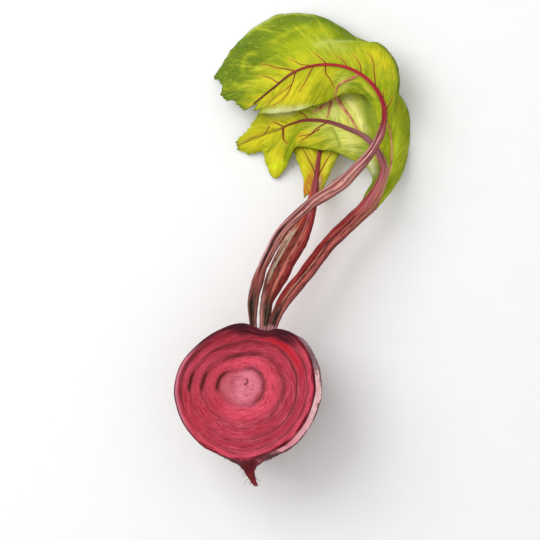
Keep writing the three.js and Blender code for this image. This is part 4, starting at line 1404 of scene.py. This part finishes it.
def leafMaterial():
    leaf = Finish("yellowGreenLeaf", 0.55, 0.12)
    place, flow = leaf.place(), leaf.attribute("leafFlow", vector=True)
    wash = leaf.noise(place, 46.0, 3.0, 0.55, 0.5)
    brush = leaf.noise(flow, 0.55, 4.0, 0.6, 0.4)
    fine = leaf.noise(flow, 1.7, 3.0, 0.6, 0.3)
    fleck = leaf.noise(place, 300.0, 3.0, 0.6)
    net = leaf.span(leaf.cells(place, 330.0), 0.0, 0.12, 1.0, 0.0)
    colour = leaf.mix(leaf.span(wash, 0.38, 0.62), tone(126, 148, 2), tone(168, 180, 6))
    colour = leaf.mark(colour, "lobe", 0.5, tone(180, 192, 24))
    # soft patches of colour; the olive ones partly painted shade by the blade's far edges
    for key, strength, shade in (
        ("olive", (0.45, 1.0), tone(88, 114, 2)),
        ("yellow", (1.0, 0.55), tone(234, 216, 34)),
        ("pale", (1.0, 0.65), tone(232, 234, 120)),
        ("blush", (0.5, 1.0), tone(200, 84, 30)),
    ):
        colour = leaf.mark(colour, key, leaf.span(brush, 0.3, 0.65, *strength), shade)
    colour = leaf.lay(colour, brush, (0.53, 0.68), (0.0, 0.55), tone(104, 132, 2))
    colour = leaf.lay(colour, brush, (0.3, 0.44), (0.45, 0.0), tone(224, 220, 56))
    # painted strokes, many of them painted highlights and painted shade along folds, broken up by a fine
    # pattern
    brokenCover = leaf.span(fine, 0.3, 0.6, 1.0, 0.6)
    colour = leaf.mark(colour, "creaseCover", brokenCover, leaf.attribute("creaseTint", vector=True))
    colour = leaf.lay(colour, fine, (0.54, 0.68), (0.0, 0.4), tone(98, 126, 2))
    colour = leaf.lay(colour, fine, (0.3, 0.43), (0.35, 0.0), tone(230, 224, 70))
    colour = leaf.lay(colour, fleck, (0.56, 0.76), (0.0, 0.15), tone(230, 226, 90))
    colour = leaf.lay(colour, leaf.attribute("veinGap"), (0.3, 1.6), (0.4, 0.0), tone(208, 170, 40))
    colour = leaf.mix(leaf.product(net, 0.06), colour, tone(220, 222, 90))
    # painted shade: darker towards the blade's edges
    colour = leaf.lay(colour, leaf.attribute("edgeGap"), (0.0, 0.035), (0.65, 0.0), tone(84, 112, 10))
    colour = leaf.mark(colour, "underside", 0.35, tone(168, 182, 90))
    normal = leaf.bump(leaf.product(net, -1.0), 0.0003, 0.35)
    normal = leaf.bump(fine, 0.0008, 0.4, normal)
    return leaf.done(colour, leaf.span(fleck, 0.3, 0.7, 0.48, 0.64), normal)


def veinMaterial():
    vein = Finish("redVein", 0.5, 0.25)
    shade = vein.noise(vein.place(), 240.0, 3.0)
    colour = vein.mix(vein.span(shade, 0.35, 0.65), tone(112, 30, 24), tone(150, 62, 34))
    colour = vein.lay(colour, vein.attribute("taper"), (0.3, 0.6), (0.6, 0.0), tone(150, 112, 36))
    tan = vein.mix(vein.span(shade, 0.4, 0.6), tone(188, 104, 84), tone(222, 164, 124))
    colour = vein.mix(vein.attribute("pink"), colour, tan)
    return vein.done(colour, vein.span(shade, 0.3, 0.7, 0.4, 0.55), vein.bump(shade, 0.0002, 0.5))


greenLeaf, redVein, ridges = leafMaterial(), veinMaterial(), veinTree()
leafObjects = {}
for number, (leafName, leaf) in enumerate(leaves.items()):
    seed = stalkShape["seed"] + stalkShape["seedStep"] * number
    stem = stalkPiece(leafName, leaf, stalkMaterial(leafName, leaf), seed)
    blade, surface = bladePiece(leafName, leaf, greenLeaf)
    veins = veinPiece(leafName, leaf, surface, ridges, redVein)
    leafObjects[leafName] = (stem, blade, veins)
    print("leaf:", leafName, [len(piece.data.polygons) for piece in leafObjects[leafName]])
hairs = rootletPiece(ridges, rootletMaterial())
print("rootlets:", len(hairs.data.polygons), "faces")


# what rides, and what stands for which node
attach(rootObject, "root")
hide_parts("beet_half")
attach(hairs, "root")
for leafName, (stem, blade, veins) in leafObjects.items():
    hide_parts(leafName + "_stalk")
    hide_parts(leafName + "_blade")
    for piece, slotName in ((stem, "leaf_stalk"), (blade, "leaf_blade"), (veins, "leaf_stalk")):
        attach(piece, "root")
